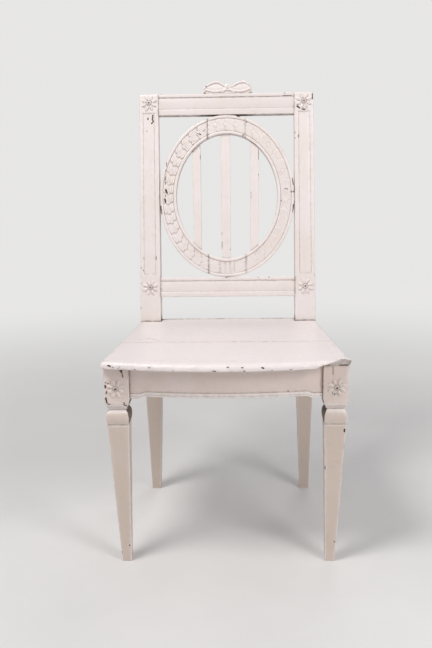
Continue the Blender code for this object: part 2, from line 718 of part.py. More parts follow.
def front_rail(parent):
    end = LEG_INNER - CLEARANCE
    middle = [OGEE_INNER * (i / FRONT_RAIL_STEPS - 1) for i in range(2 * FRONT_RAIL_STEPS + 1)]
    ogee = [OGEE_INNER + (OGEE_OUTER - OGEE_INNER) * i / OGEE_STEPS for i in range(1, OGEE_STEPS + 1)]
    stations = [-end] + [-x for x in reversed(ogee)] + middle + ogee + [end]
    return add_object("front_rail", loft([front_rail_section(x) for x in stations]), parent, smooth=25)


def side_rail_outer(y):
    share = (y - LEG_BACK) / (POST_FRONT - LEG_BACK)
    return LEG_OUTER + (POST_OUTER - LEG_OUTER) * share - SIDE_RAIL_SETBACK


def side_rail(name, side, parent):
    rings = []
    for y in (LEG_BACK + CLEARANCE, POST_FRONT - CLEARANCE):
        outer = side_rail_outer(y)
        inner = outer - RAIL_THICKNESS
        rings.append([(side * inner, y, SIDE_RAIL_BOTTOM), (side * outer, y, SIDE_RAIL_BOTTOM),
                      (side * outer, y, RAIL_TOP), (side * inner, y, RAIL_TOP)])
    return add_object(name, loft(rings), parent)


def rear_seat_rail(parent):
    end = POST_INNER - CLEARANCE
    rear = SEAT_REAR - REAR_RAIL_SETBACK
    return add_object("rear_seat_rail", block(-end, end, rear - RAIL_THICKNESS, rear, REAR_RAIL_BOTTOM,
                                              RAIL_TOP), parent)


def front_corner_outline():
    """Plan of a glue block behind a front leg, which it is notched round."""
    gap = CLEARANCE
    corner = LEG_INNER - gap
    start = corner - CORNER_BLOCK_REACH
    along_rail = []
    for i in range(CORNER_BLOCK_STEPS + 1):
        x = start + (corner - start) * i / CORNER_BLOCK_STEPS
        along_rail.append((x, front_rail_face(x) + RAIL_THICKNESS + gap))
    back = LEG_BACK + gap
    far = back + CORNER_BLOCK_REACH
    return along_rail + [(corner, back), (side_rail_outer(back) - RAIL_THICKNESS - gap, back),
                         (side_rail_outer(far) - RAIL_THICKNESS - gap, far)]


def rear_corner_outline():
    """Plan of a glue block in front of a rear post."""
    gap = CLEARANCE
    corner = POST_INNER - gap
    rail = SEAT_REAR - REAR_RAIL_SETBACK - RAIL_THICKNESS - gap
    post = POST_FRONT - gap
    far = post - CORNER_BLOCK_REACH
    return [(corner - CORNER_BLOCK_REACH, rail), (corner, rail), (corner, post),
            (side_rail_outer(post) - RAIL_THICKNESS - gap, post),
            (side_rail_outer(far) - RAIL_THICKNESS - gap, far)]


def corner_block(name, outline, side, parent):
    low = RAIL_TOP - CORNER_BLOCK_HEIGHT
    rings = [[(side * x, y, z) for x, y in outline] for z in (low, RAIL_TOP)]
    return add_object(name, loft(rings), parent, colour=BARE_WOOD, roughness=0.7)


def join_front_rail(rail, leg, word, side, parent):
    """Tenon of the front rail in a leg, held by a peg from behind."""
    low = FRONT_RAIL_BOTTOM + FRONT_RAIL_BEAD
    middle = (low + RAIL_TOP) / 2
    depth = front_rail_face(LEG_INNER) + RAIL_THICKNESS / 2
    size = (TENON_LENGTH + TENON_SHOULDER, TENON_THICKNESS, RAIL_TOP - low - 2 * TENON_SHOULDER)
    centre = LEG_INNER + (TENON_LENGTH - TENON_SHOULDER) / 2
    tenon(rail, leg, parent, (side * centre, depth, middle), size)
    x = side * (LEG_INNER + TENON_LENGTH / 2)
    z = middle + PEG_OFFSET
    pin("peg_front_rail_" + word, parent, (x, LEG_BACK, z),
        (x, depth - TENON_THICKNESS / 2 - PEG_PAST, z), PEG_DIAMETER, (rail, leg))


def join_side_rail(rail, leg, post, word, side, parent):
    """Tenons of a side rail in the leg and the post, each held by a peg across it."""
    middle = (SIDE_RAIL_BOTTOM + RAIL_TOP) / 2
    size = (TENON_THICKNESS, TENON_LENGTH + TENON_SHOULDER, RAIL_TOP - SIDE_RAIL_BOTTOM - 2 * TENON_SHOULDER)
    reach = (TENON_LENGTH - TENON_SHOULDER) / 2
    z = middle - PEG_OFFSET
    front_x = side_rail_outer(LEG_BACK) - RAIL_THICKNESS / 2
    tenon(rail, leg, parent, (side * front_x, LEG_BACK - reach, middle), size)
    y = LEG_BACK - TENON_LENGTH / 2
    pin("peg_side_rail_front_" + word, parent, (side * LEG_INNER, y, z),
        (side * (front_x + TENON_THICKNESS / 2 + PEG_PAST), y, z), PEG_DIAMETER, (rail, leg))
    rear_x = side_rail_outer(POST_FRONT) - RAIL_THICKNESS / 2
    tenon(rail, post, parent, (side * rear_x, POST_FRONT + reach, middle), size)
    y = POST_FRONT + TENON_LENGTH / 2
    pin("peg_side_rail_rear_" + word, parent, (side * post_outer(z - PEG_DIAMETER / 2), y, z),
        (side * (rear_x - TENON_THICKNESS / 2 - PEG_PAST), y, z), PEG_DIAMETER, (rail, post))


def join_rear_rail(rail, post, word, side, parent):
    """Tenon of the rear seat rail in a post, held by a peg from behind."""
    middle = (REAR_RAIL_BOTTOM + RAIL_TOP) / 2
    depth = SEAT_REAR - REAR_RAIL_SETBACK - RAIL_THICKNESS / 2
    size = (TENON_LENGTH + TENON_SHOULDER, TENON_THICKNESS, RAIL_TOP - REAR_RAIL_BOTTOM - 2 * TENON_SHOULDER)
    centre = POST_INNER + (TENON_LENGTH - TENON_SHOULDER) / 2
    tenon(rail, post, parent, (side * centre, depth, middle), size)
    x = side * (POST_INNER + TENON_LENGTH / 2)
    z = middle + PEG_OFFSET
    pin("peg_rear_rail_" + word, parent, (x, POST_FRONT + POST_DEPTH_SEAT, z),
        (x, depth - TENON_THICKNESS / 2 - PEG_PAST, z), PEG_DIAMETER, (rail, post))


def join_back_rail(rail, low, height, post, word, side, parent):
    """Tenon of a rail of the back in a post, held by a peg from behind."""
    middle = low + height / 2
    depth = BACK_RAIL_SETBACK + BACK_RAIL_THICKNESS / 2
    size = (TENON_LENGTH + TENON_SHOULDER, TENON_THICKNESS, height - 2 * TENON_SHOULDER)
    centre = POST_INNER + (TENON_LENGTH - TENON_SHOULDER) / 2
    tenon(rail, post, parent, (side * centre, depth, middle), size)
    x = side * (POST_INNER + TENON_LENGTH / 2)
    pin(f"peg_{rail.name}_{word}", parent, (x, post_depth(middle + PEG_DIAMETER / 2), middle),
        (x, depth - TENON_THICKNESS / 2 - PEG_PAST, middle), PEG_DIAMETER, (rail, post))


def hold_medallion(ring, crest, lower, posts, parent):
    """Dowels between the medallion's pieces, and from them into the rails and posts that they touch."""
    middle = RING_MIDDLE
    for word, rail, edge in (("top", crest, CREST_BOTTOM), ("bottom", lower, LOWER_RAIL_TOP)):
        pin("dowel_medallion_" + word, parent, (0, middle, edge - DOWEL_REACH),
            (0, middle, edge + DOWEL_REACH), DOWEL_DIAMETER, (rail, ring[word]))
    for word, side in SIDES.items():
        edge = side * POST_INNER
        pin("dowel_medallion_" + word, parent, (edge - DOWEL_REACH, middle, RING_CENTRE),
            (edge + DOWEL_REACH, middle, RING_CENTRE), DOWEL_DIAMETER, (posts[word], ring[word]))
        across = math.sin(ring_angle(RING_INNER[0], RING_JOINT)) * RING_INNER[1] / 2
        across += math.sin(ring_angle(RING_OUTER[0], RING_JOINT)) * RING_OUTER[1] / 2
        for place, up in (("top", 1), ("bottom", -1)):
            z = RING_CENTRE + up * across
            x = side * RING_JOINT
            pin(f"dowel_joint_{place}_{word}", parent, (x - DOWEL_REACH, middle, z),
                (x + DOWEL_REACH, middle, z), DOWEL_DIAMETER, (ring[place], ring[word]))


def hold_bow(bow, crest, parent):
    """Two thin dowels between the bow and the crest rail."""
    depth = BOW_SETBACK + BOW_THICKNESS * BOW_DOWEL_DEPTH
    for word, side in SIDES.items():
        x = BOW_SHIFT + side * BOW_DOWEL_SPREAD / 2
        pin("dowel_bow_" + word, parent, (x, depth, BACK_LENGTH - BOW_DOWEL_REACH),
            (x, depth, BACK_LENGTH + BOW_DOWEL_REACH), BOW_DOWEL_DIAMETER, (bow, crest))


def build_back(chair, posts):
    back = empty("back", chair, (0, POST_FRONT, SEAT_HEIGHT), (-BACK_RAKE, 0, 0))
    crest = back_rail("crest_rail", BACK_LENGTH, CREST_HEIGHT, CREST_LOWER_BAND, back)
    lower = back_rail("lower_back_rail", LOWER_RAIL_TOP, LOWER_RAIL_HEIGHT, LOWER_RAIL_BAND, back)
    ring = medallion(back)
    splat("splat_left", SPLAT_SHIFT - SPLAT_SPACING, SPLAT_WIDTH, (ring["left"],), back)
    splat("splat_middle", SPLAT_SHIFT, SPLAT_MIDDLE_WIDTH, (ring["top"], ring["bottom"]), back)
    splat("splat_right", SPLAT_SHIFT + SPLAT_SPACING, SPLAT_WIDTH, (ring["right"],), back)
    for word, side in SIDES.items():
        join_back_rail(crest, CREST_BOTTOM, CREST_HEIGHT, posts[word], word, side, back)
        join_back_rail(lower, LOWER_RAIL_BOTTOM, LOWER_RAIL_HEIGHT, posts[word], word, side, back)
    hold_medallion(ring, crest, lower, posts, back)
    hold_bow(crest_bow("crest_bow", back), crest, back)
    for word, side in SIDES.items():
        for height in (BACK_LENGTH - ROSETTE_TOP_DOWN, LOWER_RAIL_BOTTOM + LOWER_RAIL_HEIGHT / 2):
            width = POST_WIDTH_SEAT + (POST_WIDTH_TOP - POST_WIDTH_SEAT) * height / BACK_LENGTH
            rosette(posts[word], back, (side * (POST_INNER + width / 2), 0, height), ROSETTE_POST_RADIUS)


def build_seat_frame(chair, posts):
    front = front_rail(chair)
    rear = rear_seat_rail(chair)
    for word, side in SIDES.items():
        leg = front_leg("front_leg_" + word, side, chair)
        rosette(leg, chair, (side * LEG_X, LEG_FRONT, RAIL_TOP - ROSETTE_LEG_DOWN), ROSETTE_LEG_RADIUS)
        rail = side_rail("side_rail_" + word, side, chair)
        join_front_rail(front, leg, word, side, chair)
        join_side_rail(rail, leg, posts[word], word, side, chair)
        join_rear_rail(rear, posts[word], word, side, chair)
        corner_block("corner_block_front_" + word, front_corner_outline(), side, chair)
        corner_block("corner_block_rear_" + word, rear_corner_outline(), side, chair)


def main():
    clear_scene()
    chair = empty("chair", location=(0, -MIDDLE_Y, 0))
    posts = {word: rear_post("rear_post_" + word, side, chair) for word, side in SIDES.items()}
    build_back(chair, posts)
    build_seat_frame(chair, posts)
    seat(chair)


main()
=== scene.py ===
"""The looks of the painted side chair: worn meshes for its painted pieces, aged oil paint, a soft
studio and a camera.

Every piece is made in the chair's own frame, in metres: +Z up, the chair faces -Y. Points of the back are
given on its raked front face, as (across, behind the face, up the face) from the level of the seat.
"""

import math

import bmesh
import bpy
import numpy as np
from mathutils import Matrix, Vector
from mathutils.bvhtree import BVHTree

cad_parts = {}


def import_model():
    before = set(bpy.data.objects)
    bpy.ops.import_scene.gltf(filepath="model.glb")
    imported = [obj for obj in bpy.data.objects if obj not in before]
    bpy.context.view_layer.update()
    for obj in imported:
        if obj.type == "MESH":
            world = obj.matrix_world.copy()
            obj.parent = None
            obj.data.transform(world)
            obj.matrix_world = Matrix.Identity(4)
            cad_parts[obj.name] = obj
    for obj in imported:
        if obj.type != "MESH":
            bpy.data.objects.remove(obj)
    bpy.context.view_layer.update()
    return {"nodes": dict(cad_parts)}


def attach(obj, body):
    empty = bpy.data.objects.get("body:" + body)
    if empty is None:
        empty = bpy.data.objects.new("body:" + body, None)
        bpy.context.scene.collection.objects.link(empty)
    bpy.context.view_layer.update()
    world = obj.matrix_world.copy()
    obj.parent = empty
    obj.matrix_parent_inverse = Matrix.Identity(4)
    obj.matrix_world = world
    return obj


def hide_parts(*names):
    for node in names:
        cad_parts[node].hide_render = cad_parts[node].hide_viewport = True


MM = 0.001

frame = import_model()

# Sizes of the solids that the worn pieces follow
MIDDLE_Y = 0.17373
CLEARANCE = 0.0003
LEG_SPREAD = 0.423
FRAME_DEPTH = 0.3071
POST_INNER = 0.1535
SEAT_HEIGHT = 0.431
SEAT_THICKNESS = 0.014
RAIL_TOP = SEAT_HEIGHT - SEAT_THICKNESS - CLEARANCE
BACK_LENGTH = 0.514
BACK_RAKE = math.radians(9.94)
LEG_X = LEG_SPREAD / 2
LEG_HALF = 0.0245
LEG_INNER = LEG_X - LEG_HALF
LEG_INSET = 0.0055
LEG_TAPER = 0.2965
POST_WIDTHS = {"foot": 0.0215, "knee": 0.0445, "seat": 0.0468, "top": 0.0425}
POST_DEPTHS = {"foot": 0.0215, "seat": 0.036, "top": 0.024}
POST_KNEE = 0.352
POST_FOOT_INNER = 0.1803 - 0.01075
POST_FOOT_BACK = 0.0471
# From and to, up the face of the back, and the width of each rail's lower moulding
PANEL = (0.106, 0.4727)
CREST = (0.4665, 0.514)
LOWER_RAIL = (0.0555, 0.1)
CREST_BAND = 0.0135
LOWER_BAND = 0.0115
RING_CENTRE = 0.28325
RING_OUTER = (0.1532, 0.18295)
RING_INNER = (0.1152, 0.14095)
RING_THICKNESS = 0.022
RING_BEAD = 0.0072
RING_GROUND = 0.0032
RING_JOINT = 0.0425
BACK_SETBACK = 0.001
REAR_OVERHANG = 0.0284
RAIL_THICKNESS = 0.022
ROSETTE = 0.0205
ROSETTE_RISE = 0.0034

SIDES = {"left": -1, "right": 1}


# Numbers and points

def smooth(low, high, value):
    share = np.clip((value - low) / (high - low), 0.0, 1.0)
    return share * share * (3 - 2 * share)


def hashed(cells, seed):
    """A repeatable number from 0 to 1 for each whole-number cell."""
    mixed = (cells[..., 0] * 73856093) ^ (cells[..., 1] * 19349663) ^ (cells[..., 2] * 83492791)
    mixed = mixed ^ (seed * 2654435)
    mixed = (mixed ^ (mixed >> 13)) * 1274126177
    mixed = mixed ^ (mixed >> 16)
    return (mixed & 0xFFFF) / 65535.0


def noise(points, size, seed):
    """Smooth noise from 0 to 1 at points, with lumps about as wide as size."""
    place = np.asarray(points, float) / size + seed * 17.31
    cell = np.floor(place).astype(np.int64)
    inside = place - cell
    inside = inside * inside * (3 - 2 * inside)
    total = np.zeros(place.shape[:-1])
    for corner in range(8):
        step = np.array([corner & 1, corner >> 1 & 1, corner >> 2 & 1])
        weight = np.prod(np.where(step == 1, inside, 1 - inside), axis=-1)
        total += weight * hashed(cell + step, seed)
    return total


def points_of(*values):
    """Points from their coordinates, each of them an array or one number."""
    return np.stack(np.broadcast_arrays(*values), axis=-1)


def to_back(points):
    """From the raked face of the back to the chair's frame."""
    points = np.asarray(points, float)
    sin, cos = math.sin(BACK_RAKE), math.cos(BACK_RAKE)
    across, behind, up = points[..., 0], points[..., 1], points[..., 2]
    return points_of(across, FRAME_DEPTH - MIDDLE_Y + up * sin + behind * cos,
                     SEAT_HEIGHT + up * cos - behind * sin)


def to_chair(points):
    """From the frame whose Y starts at the front legs' axis to the chair's frame."""
    return np.asarray(points, float) - np.array([0, MIDDLE_Y, 0])


def steps(low, high, pitch, extra):
    """Stations from low to high, about a pitch apart, with extra stations among them."""
    count = max(1, round((high - low) / pitch))
    every = np.linspace(low, high, count + 1)
    return np.unique(np.round(np.concatenate([every, [e for e in extra if low < e < high]]), 6))


def box_outline(low, high, radius, arc, parts):
    """The outline of a box from its low to its high corner, with round corners and points on its sides."""
    corners = np.array([low, (high[0], low[1]), high, (low[0], high[1])], float)
    bends = []
    for i, here in enumerate(corners):
        before, after = corners[i - 1] - here, corners[(i + 1) % 4] - here
        reach = min(radius, np.linalg.norm(before) * 0.45, np.linalg.norm(after) * 0.45)
        a = here + before / np.linalg.norm(before) * reach
        b = here + after / np.linalg.norm(after) * reach
        for k in range(arc + 1):
            t = k / arc
            bends.append((1 - t) ** 2 * a + 2 * t * (1 - t) * here + t * t * b)
    outline = []
    for i, (a, b) in enumerate(zip(bends, np.roll(bends, -1, axis=0))):
        count = parts if i % (arc + 1) == arc else 1
        outline += [a + (b - a) * k / count for k in range(count)]
    return outline


# Meshes

def added(name, data):
    """A new object in the scene."""
    made = bpy.data.objects.new(name, data)
    bpy.context.scene.collection.objects.link(made)
    return made


def built(name, places, grain, faces):
    """A mesh object. grain holds each point's place along, across and into the wood."""
    mesh = bpy.data.meshes.new(name)
    mesh.from_pydata(places.reshape(-1, 3).tolist(), [], faces)
    attribute = mesh.attributes.new("grain", "FLOAT_VECTOR", "POINT")
    attribute.data.foreach_set("vector", grain.reshape(-1).astype(np.float32))
    bm = bmesh.new()
    bm.from_mesh(mesh)
    bmesh.ops.recalc_face_normals(bm, faces=bm.faces)
    bm.to_mesh(mesh)
    bm.free()
    return added(name, mesh)


def piece(name, places, grain):
    """A mesh through rings of points, closed at both ends."""
    rows, around = places.shape[:2]
    index = np.arange(rows * around).reshape(rows, around)
    after = np.roll(index, -1, axis=1)
    quads = np.stack([index[:-1], after[:-1], after[1:], index[1:]], axis=-1).reshape(-1, 4)
    return built(name, places, grain, quads.tolist() + [index[0][::-1].tolist(), index[-1].tolist()])


def join(name, parts):
    """One object of several, with their attributes."""
    with bpy.context.temp_override(active_object=parts[0], selected_editable_objects=parts,
                                   selected_objects=parts, object=parts[0]):
        bpy.ops.object.join()
    parts[0].name = name
    return parts[0]


def read(items, name, width, kind):
    """One property of all the vertices or edges of a mesh, in rows."""
    flat = np.zeros(len(items) * width, kind)
    items.foreach_get(name, flat)
    return flat.reshape(-1, width)


def coordinates(mesh):
    return read(mesh.vertices, "co", 3, float)


def normals(mesh):
    return read(mesh.vertices, "normal", 3, np.float32).astype(float)


def store(mesh, name, values):
    attribute = mesh.attributes.get(name) or mesh.attributes.new(name, "FLOAT", "POINT")
    attribute.data.foreach_set("value", np.asarray(values, np.float32))


def stored(mesh, name):
    values = np.zeros(len(mesh.vertices), np.float32)
    if mesh.attributes.get(name):
        mesh.attributes[name].data.foreach_get("value", values)
    return values.astype(float)


def spread(edges, values):
    """Values evened out with those of their neighbours."""
    count = len(values)
    links = np.bincount(edges.ravel(), minlength=count).clip(1)
    total = np.bincount(edges[:, 0], values[edges[:, 1]], count)
    total += np.bincount(edges[:, 1], values[edges[:, 0]], count)
    return (values + total / links) / 2


def bend(mesh):
    """How much the surface bends at each vertex, in 1/m: above 0 on edges, below 0 in hollows."""
    edges = read(mesh.edges, "vertices", 2, np.int64)
    co, no = coordinates(mesh), normals(mesh)
    way = co[edges[:, 1]] - co[edges[:, 0]]
    square = np.maximum((way ** 2).sum(1), 1e-9)
    first = -2 * (no[edges[:, 0]] * way).sum(1) / square
    second = 2 * (no[edges[:, 1]] * way).sum(1) / square
    count = len(co)
    total = np.bincount(edges[:, 0], first, count) + np.bincount(edges[:, 1], second, count)
    return total / np.bincount(edges.ravel(), minlength=count).clip(1), edges


def away(points, line):
    """Distance of points from a line through several places."""
    line = np.atleast_2d(np.asarray(line, float))
    if len(line) == 1:
        return np.linalg.norm(points - line[0], axis=1)
    best = np.full(len(points), 1e9)
    for a, b in zip(line, line[1:]):
        way = b - a
        share = np.clip(((points - a) @ way) / (way @ way), 0, 1)
        best = np.minimum(best, np.linalg.norm(points - a - share[:, None] * way, axis=1))
    return best


def refine(obj, line, reach, longest):
    """Smaller faces near a line, so that a small chip has a shape of its own."""
    bm = bmesh.new()
    bm.from_mesh(obj.data)
    for _ in range(3):
        bm.verts.ensure_lookup_table()
        co = np.array([v.co[:] for v in bm.verts])
        near = away(co, line) < reach
        long = [e for e in bm.edges if near[e.verts[0].index] and near[e.verts[1].index]
                and e.calc_length() > longest]
        if not long:
            break
        bmesh.ops.subdivide_edges(bm, edges=long, cuts=1, use_grid_fill=True)
        bm.verts.index_update()
    bm.to_mesh(obj.data)
    bm.free()


def chip(obj, line, width, depth, bare, seed):
    """A chip or crack along a line: a sunk place with a rough outline, bare as far as bare says."""
    mesh = obj.data
    co, no = coordinates(mesh), normals(mesh)
    line = np.atleast_2d(np.asarray(line, float)).copy()
    for point in line:
        nearest = np.argmin(((co - point) ** 2).sum(1))
        point += no[nearest] * ((co[nearest] - point) @ no[nearest])
    refine(obj, line, width * 2.2 + 2 * MM, width / 2.5)
    co, no = coordinates(mesh), normals(mesh)
    rough = noise(co, 2.2 * MM, seed) * 0.6 + noise(co, 0.9 * MM, seed + 1) * 0.4
    distance = away(co, line) * (0.6 + 0.8 * rough)
    co -= no * (depth * (1 - smooth(width * 0.4, width * 0.95, distance)))[:, None]
    mesh.vertices.foreach_set("co", co.ravel())
    share = 1 - smooth(width * 0.2, width * 1.35, distance)
    store(mesh, "bare", np.maximum(stored(mesh, "bare"), share * bare))
    mesh.update()


# Bends of the surface, in 1/m, that count as a full edge and as a full hollow, and the depth of a knock
EDGE_BEND = 260
HOLLOW_BEND = 200
KNOCK = 0.0007


def age(obj, slot, wear=1.0, lumps=0.00018, seed=1):
    """Old paint's shape: soft lumps, edges knocked in, and the masks that the paint reads."""
    mesh = obj.data
    curve, edges = bend(mesh)
    co, no = coordinates(mesh), normals(mesh)
    edge = spread(edges, np.clip(curve / EDGE_BEND, 0, 1))
    lump = (noise(co, 24 * MM, seed) - 0.5) * 2 + (noise(co, 9 * MM, seed + 5) - 0.5)
    knock = smooth(0.66, 0.86, noise(co, 7 * MM, seed + 9)) * smooth(0.58, 0.8, noise(co, 45 * MM, seed + 11))
    dent = knock * np.clip(edge * 1.6, 0, 1) * KNOCK * wear
    co += no * (lump * lumps - dent)[:, None]
    mesh.vertices.foreach_set("co", co.ravel())
    mesh.update()
    curve, edges = bend(mesh)
    store(mesh, "edge", np.clip(spread(edges, np.clip(curve / EDGE_BEND, 0, 1)), 0, 1))
    store(mesh, "cavity", np.clip(spread(edges, np.clip(-curve / HOLLOW_BEND, 0, 1)) * 1.5, 0, 1))
    store(mesh, "bare", np.maximum(stored(mesh, "bare"), smooth(0.35, 0.9, dent / KNOCK)))
    mesh.shade_smooth()
    mesh.set_sharp_from_angle(angle=math.radians(50))
    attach(obj, "root")


def touched(obj, *masks):
    """More places where the paint darkens, as dirt and as painted shade, besides those that the piece has."""
    store(obj.data, "touch", np.maximum.reduce([stored(obj.data, "touch"), *masks]))


TOUCH_REACH = 0.006


def touching(obj, own):
    """A mask of how near each vertex is to the other pieces of the chair: the paint darkens there, as dirt
    and as painted shade between parts.
    """
    verts, faces = [], []
    for name, node in frame["nodes"].items():
        if name in own or name.startswith(("peg_", "dowel_")):
            continue
        start = len(verts)
        verts += [v.co[:] for v in node.data.vertices]
        faces += [[start + i for i in p.vertices] for p in node.data.polygons]
    tree = BVHTree.FromPolygons(verts, faces)
    values = []
    for v in obj.data.vertices:
        distance = tree.find_nearest(v.co, TOUCH_REACH)[3]
        values.append(0.0 if distance is None else 1 - distance / TOUCH_REACH)
    touched(obj, values)


def between(keys, pitch):
    """Rows through key sections, with more rows where two keys lie further apart than the pitch."""
    rows = [keys[0]]
    for a, b in zip(keys, keys[1:]):
        parts = max(1, math.ceil(np.abs(np.linalg.norm(b - a, axis=-1)).max() / pitch))
        rows += [a + (b - a) * k / parts for k in range(1, parts + 1)]
    return np.array(rows)


def lofted(name, keys, pitch, place, across_axis=0):
    """A closed piece through key sections. place puts its points in the chair's frame."""
    rows = between([np.asarray(k, float) for k in keys], pitch)
    centre = rows.mean(axis=1)
    travel = np.concatenate([[0.0], np.cumsum(np.linalg.norm(np.diff(centre, axis=0), axis=1))])
    offset = rows - centre[:, None, :]
    grain = np.zeros_like(rows)
    grain[..., 0] = travel[:, None]
    grain[..., 1] = offset[..., across_axis]
    grain[..., 2] = offset[..., 1]
    return piece(name, place(rows), grain)


# Posts and legs

# Across the post's front from its inner edge, in mm: distance, and depth where the panel is sunk
POST_FACE = ((0.0, 1.7), (0.12, 1.0), (0.5, 0.45), (1.2, 0.12), (3.0, 0.0), (5.5, 0.0), (8.0, 0.1),
             (9.6, 0.35), (10.3, 0.9), (10.7, 1.6), (11.4, 1.75), (12.2, 1.45), (15.0, 1.15), (19.0, 0.85),
             (24.0, 0.7), (29.0, 0.8), (33.5, 1.1), (36.6, 1.4), (37.5, 1.65), (38.1, 1.5), (38.5, 0.8),
             (39.2, 0.3), (41.0, 0.05), (43.5, 0.0), (45.6, 0.12), (46.3, 0.45), (46.68, 1.0), (46.8, 1.7))
POST_FACE_WIDTH = 46.8


def post_outline(width, depth, sunk):
    """Section of a post as (distance from the inner side, depth behind the front)."""
    front = []
    for d, deep in POST_FACE:
        at_edge = d <= 1.2 or d >= 45.6
        front.append((d * width / POST_FACE_WIDTH, deep * MM * (1.0 if at_edge else sunk)))
    back = 2.2 * MM
    sides = [(width, depth * k / 6) for k in range(1, 6)]
    rear = [(width, depth - back), (width - 0.3 * back, depth - 0.3 * back)]
    rear += [(width - back - (width - 2 * back) * k / 8, depth) for k in range(9)]
    rear += [(0.3 * back, depth - 0.3 * back), (0.0, depth - back)]
    inner = [(0.0, depth * k / 6) for k in range(5, 0, -1)]
    return np.array(front + sides + rear + inner)


def post_width(height):
    return POST_WIDTHS["seat"] + (POST_WIDTHS["top"] - POST_WIDTHS["seat"]) * height / BACK_LENGTH


def post_depth(height):
    return POST_DEPTHS["seat"] + (POST_DEPTHS["top"] - POST_DEPTHS["seat"]) * height / BACK_LENGTH


def level_section(side, z, inner, front, width, depth, shrink=0.0):
    outline = post_outline(width - 2 * shrink, depth - 2 * shrink, 0.0)
    return to_chair([(side * (inner + shrink + d), FRAME_DEPTH + front + shrink + deep, z)
                     for d, deep in outline])


def raked_section(side, height, sunk, shrink=0.0):
    outline = post_outline(post_width(height) - 2 * shrink, post_depth(height) - 2 * shrink, sunk)
    return to_back([(side * (POST_INNER + shrink + d), deep + shrink, height) for d, deep in outline])


def rear_post(word, side):
    foot = (POST_FOOT_INNER, POST_FOOT_BACK, POST_WIDTHS["foot"], POST_DEPTHS["foot"])
    low, high = PANEL
    ease = 0.8 * MM
    keys = [level_section(side, 0.0, *foot, shrink=0.8 * MM), level_section(side, 1.5 * MM, *foot),
            level_section(side, POST_KNEE, POST_INNER, 0.0, POST_WIDTHS["knee"], POST_DEPTHS["seat"]),
            level_section(side, SEAT_HEIGHT, POST_INNER, 0.0, POST_WIDTHS["seat"], POST_DEPTHS["seat"])]
    keys += [raked_section(side, height, sunk) for height, sunk in (
        (LOWER_RAIL[0], 0.0), (low, 0.0), (low + ease, 1.0), (high - ease, 1.0), (high, 0.0),
        (BACK_LENGTH - 1.2 * MM, 0.0))]
    keys.append(raked_section(side, BACK_LENGTH, 0.0, shrink=1.0 * MM))
    parts = [lofted(f"rear_post_{word}_worn", keys, 3.2 * MM, lambda p: p)]
    for height, seed in ((BACK_LENGTH - 19.5 * MM, 3), (LOWER_RAIL[0] + 22.2 * MM, 8)):
        centre = (side * (POST_INNER + post_width(height) / 2), 0.0, height)
        parts.append(rosette(f"flower_{word}_{seed}", centre, to_back, seed + side))
    return parts


# Square sections of a front leg, in mm: height, width and radius of the corners
LEG_SECTIONS = ((0.0, 17.5, 2.0), (1.5, 19.0, 2.2), (150.0, 31.2, 2.4), (295.6, 42.8, 2.4),
                (296.4, 41.4, 1.4), (298.2, 41.2, 1.4), (299.0, 43.6, 1.8), (300.5, 44.5, 2.2),
                (305.0, 45.8, 2.6), (310.0, 46.5, 3.0), (314.0, 46.2, 3.4), (317.5, 45.3, 4.0),
                (320.5, 43.8, 4.5), (323.0, 41.6, 5.0), (325.0, 39.2, 5.0), (326.6, 36.8, 4.0),
                (327.4, 35.6, 2.6), (329.8, 35.4, 2.2), (330.2, 38.6, 2.4), (331.0, 40.2, 2.2),
                (332.6, 40.6, 2.0), (333.5, 40.4, 1.8), (335.5, 42.6, 1.8), (338.5, 46.4, 1.8),
                (340.8, 48.8, 1.6), (342.0, 49.0, 1.6), (416.7, 49.0, 1.6))


def front_leg(word, side):
    keys = []
    for z, width, radius in LEG_SECTIONS:
        z, half = z * MM, width * MM / 2
        inset = -side * LEG_INSET * max(0.0, 1 - z / LEG_TAPER)
        outline = box_outline((-half, -half), (half, half), radius * MM, 4, 7)
        keys.append([(side * LEG_X + inset + x, y, z) for x, y in outline])
    centre = (side * (LEG_X + 1.2 * MM), -LEG_HALF, RAIL_TOP - 44.7 * MM)
    return [lofted(f"front_leg_{word}_worn", keys, 3.2 * MM, to_chair),
            rosette(f"flower_leg_{word}", centre, to_chair, 13 + side)]


def rosette(name, centre, place, seed):
    """A carved star flower with a bored boss, its root sunk in the face it stands on."""
    around, petals = 112, 8
    angle = np.linspace(0, 2 * math.pi, around, endpoint=False)
    worn = noise(points_of(np.cos(angle) * 9, np.sin(angle) * 9, seed), 6.0, seed)
    wave = np.abs(((angle * petals / (2 * math.pi)) % 1.0) - 0.5) * 2
    reach = 1.0 - 0.40 * wave ** 1.25 - 0.17 * worn
    rows = []
    for share in np.concatenate([[1.0, 1.0], np.linspace(0.99, 0.02, 30)]):
        body = (1 - 0.8 * wave ** 1.3) * (0.66 + 0.34 * smooth(1.0, 0.75, share)) * 0.95
        body = body + 0.14 * smooth(1.02, 0.9, share) - 0.13 * np.exp(-(wave / 0.13) ** 2)
        ring = smooth(0.42, 0.34, share)
        boss = 0.95 * math.sqrt(max(0.0, 1 - (min(share, 0.31) / 0.31) ** 4)) if share < 0.31 else 0.1
        hole = 1.3 * smooth(0.13, 0.07, share)
        height = body * (1 - ring) + boss * ring - hole
        height = height * ROSETTE_RISE * (0.66 + 0.5 * worn)
        ray = ROSETTE * (share * (reach if share > 0.4 else 1 - (1 - reach) * share / 0.4))
        rows.append(points_of(ray * np.cos(angle), -height, ray * np.sin(angle)))
    rows[0][:, 1] = 2.0 * MM
    rows[1][:, 1] = 0.2 * MM
    rows = np.array(rows)
    made = piece(name, place(rows + np.array(centre)), rows[..., [2, 0, 1]])
    rise, out = -rows[..., 1].ravel(), np.hypot(rows[..., 0], rows[..., 2]).ravel()
    root = smooth(0.9 * MM, 0.1 * MM, rise) * smooth(0.35, 0.5, out / ROSETTE)
    # Darker round the flower's root and in its bored hole: painted shade, with dirt
    touched(made, root * 0.9, smooth(0.16, 0.09, out / ROSETTE) * 1.3)
    return made


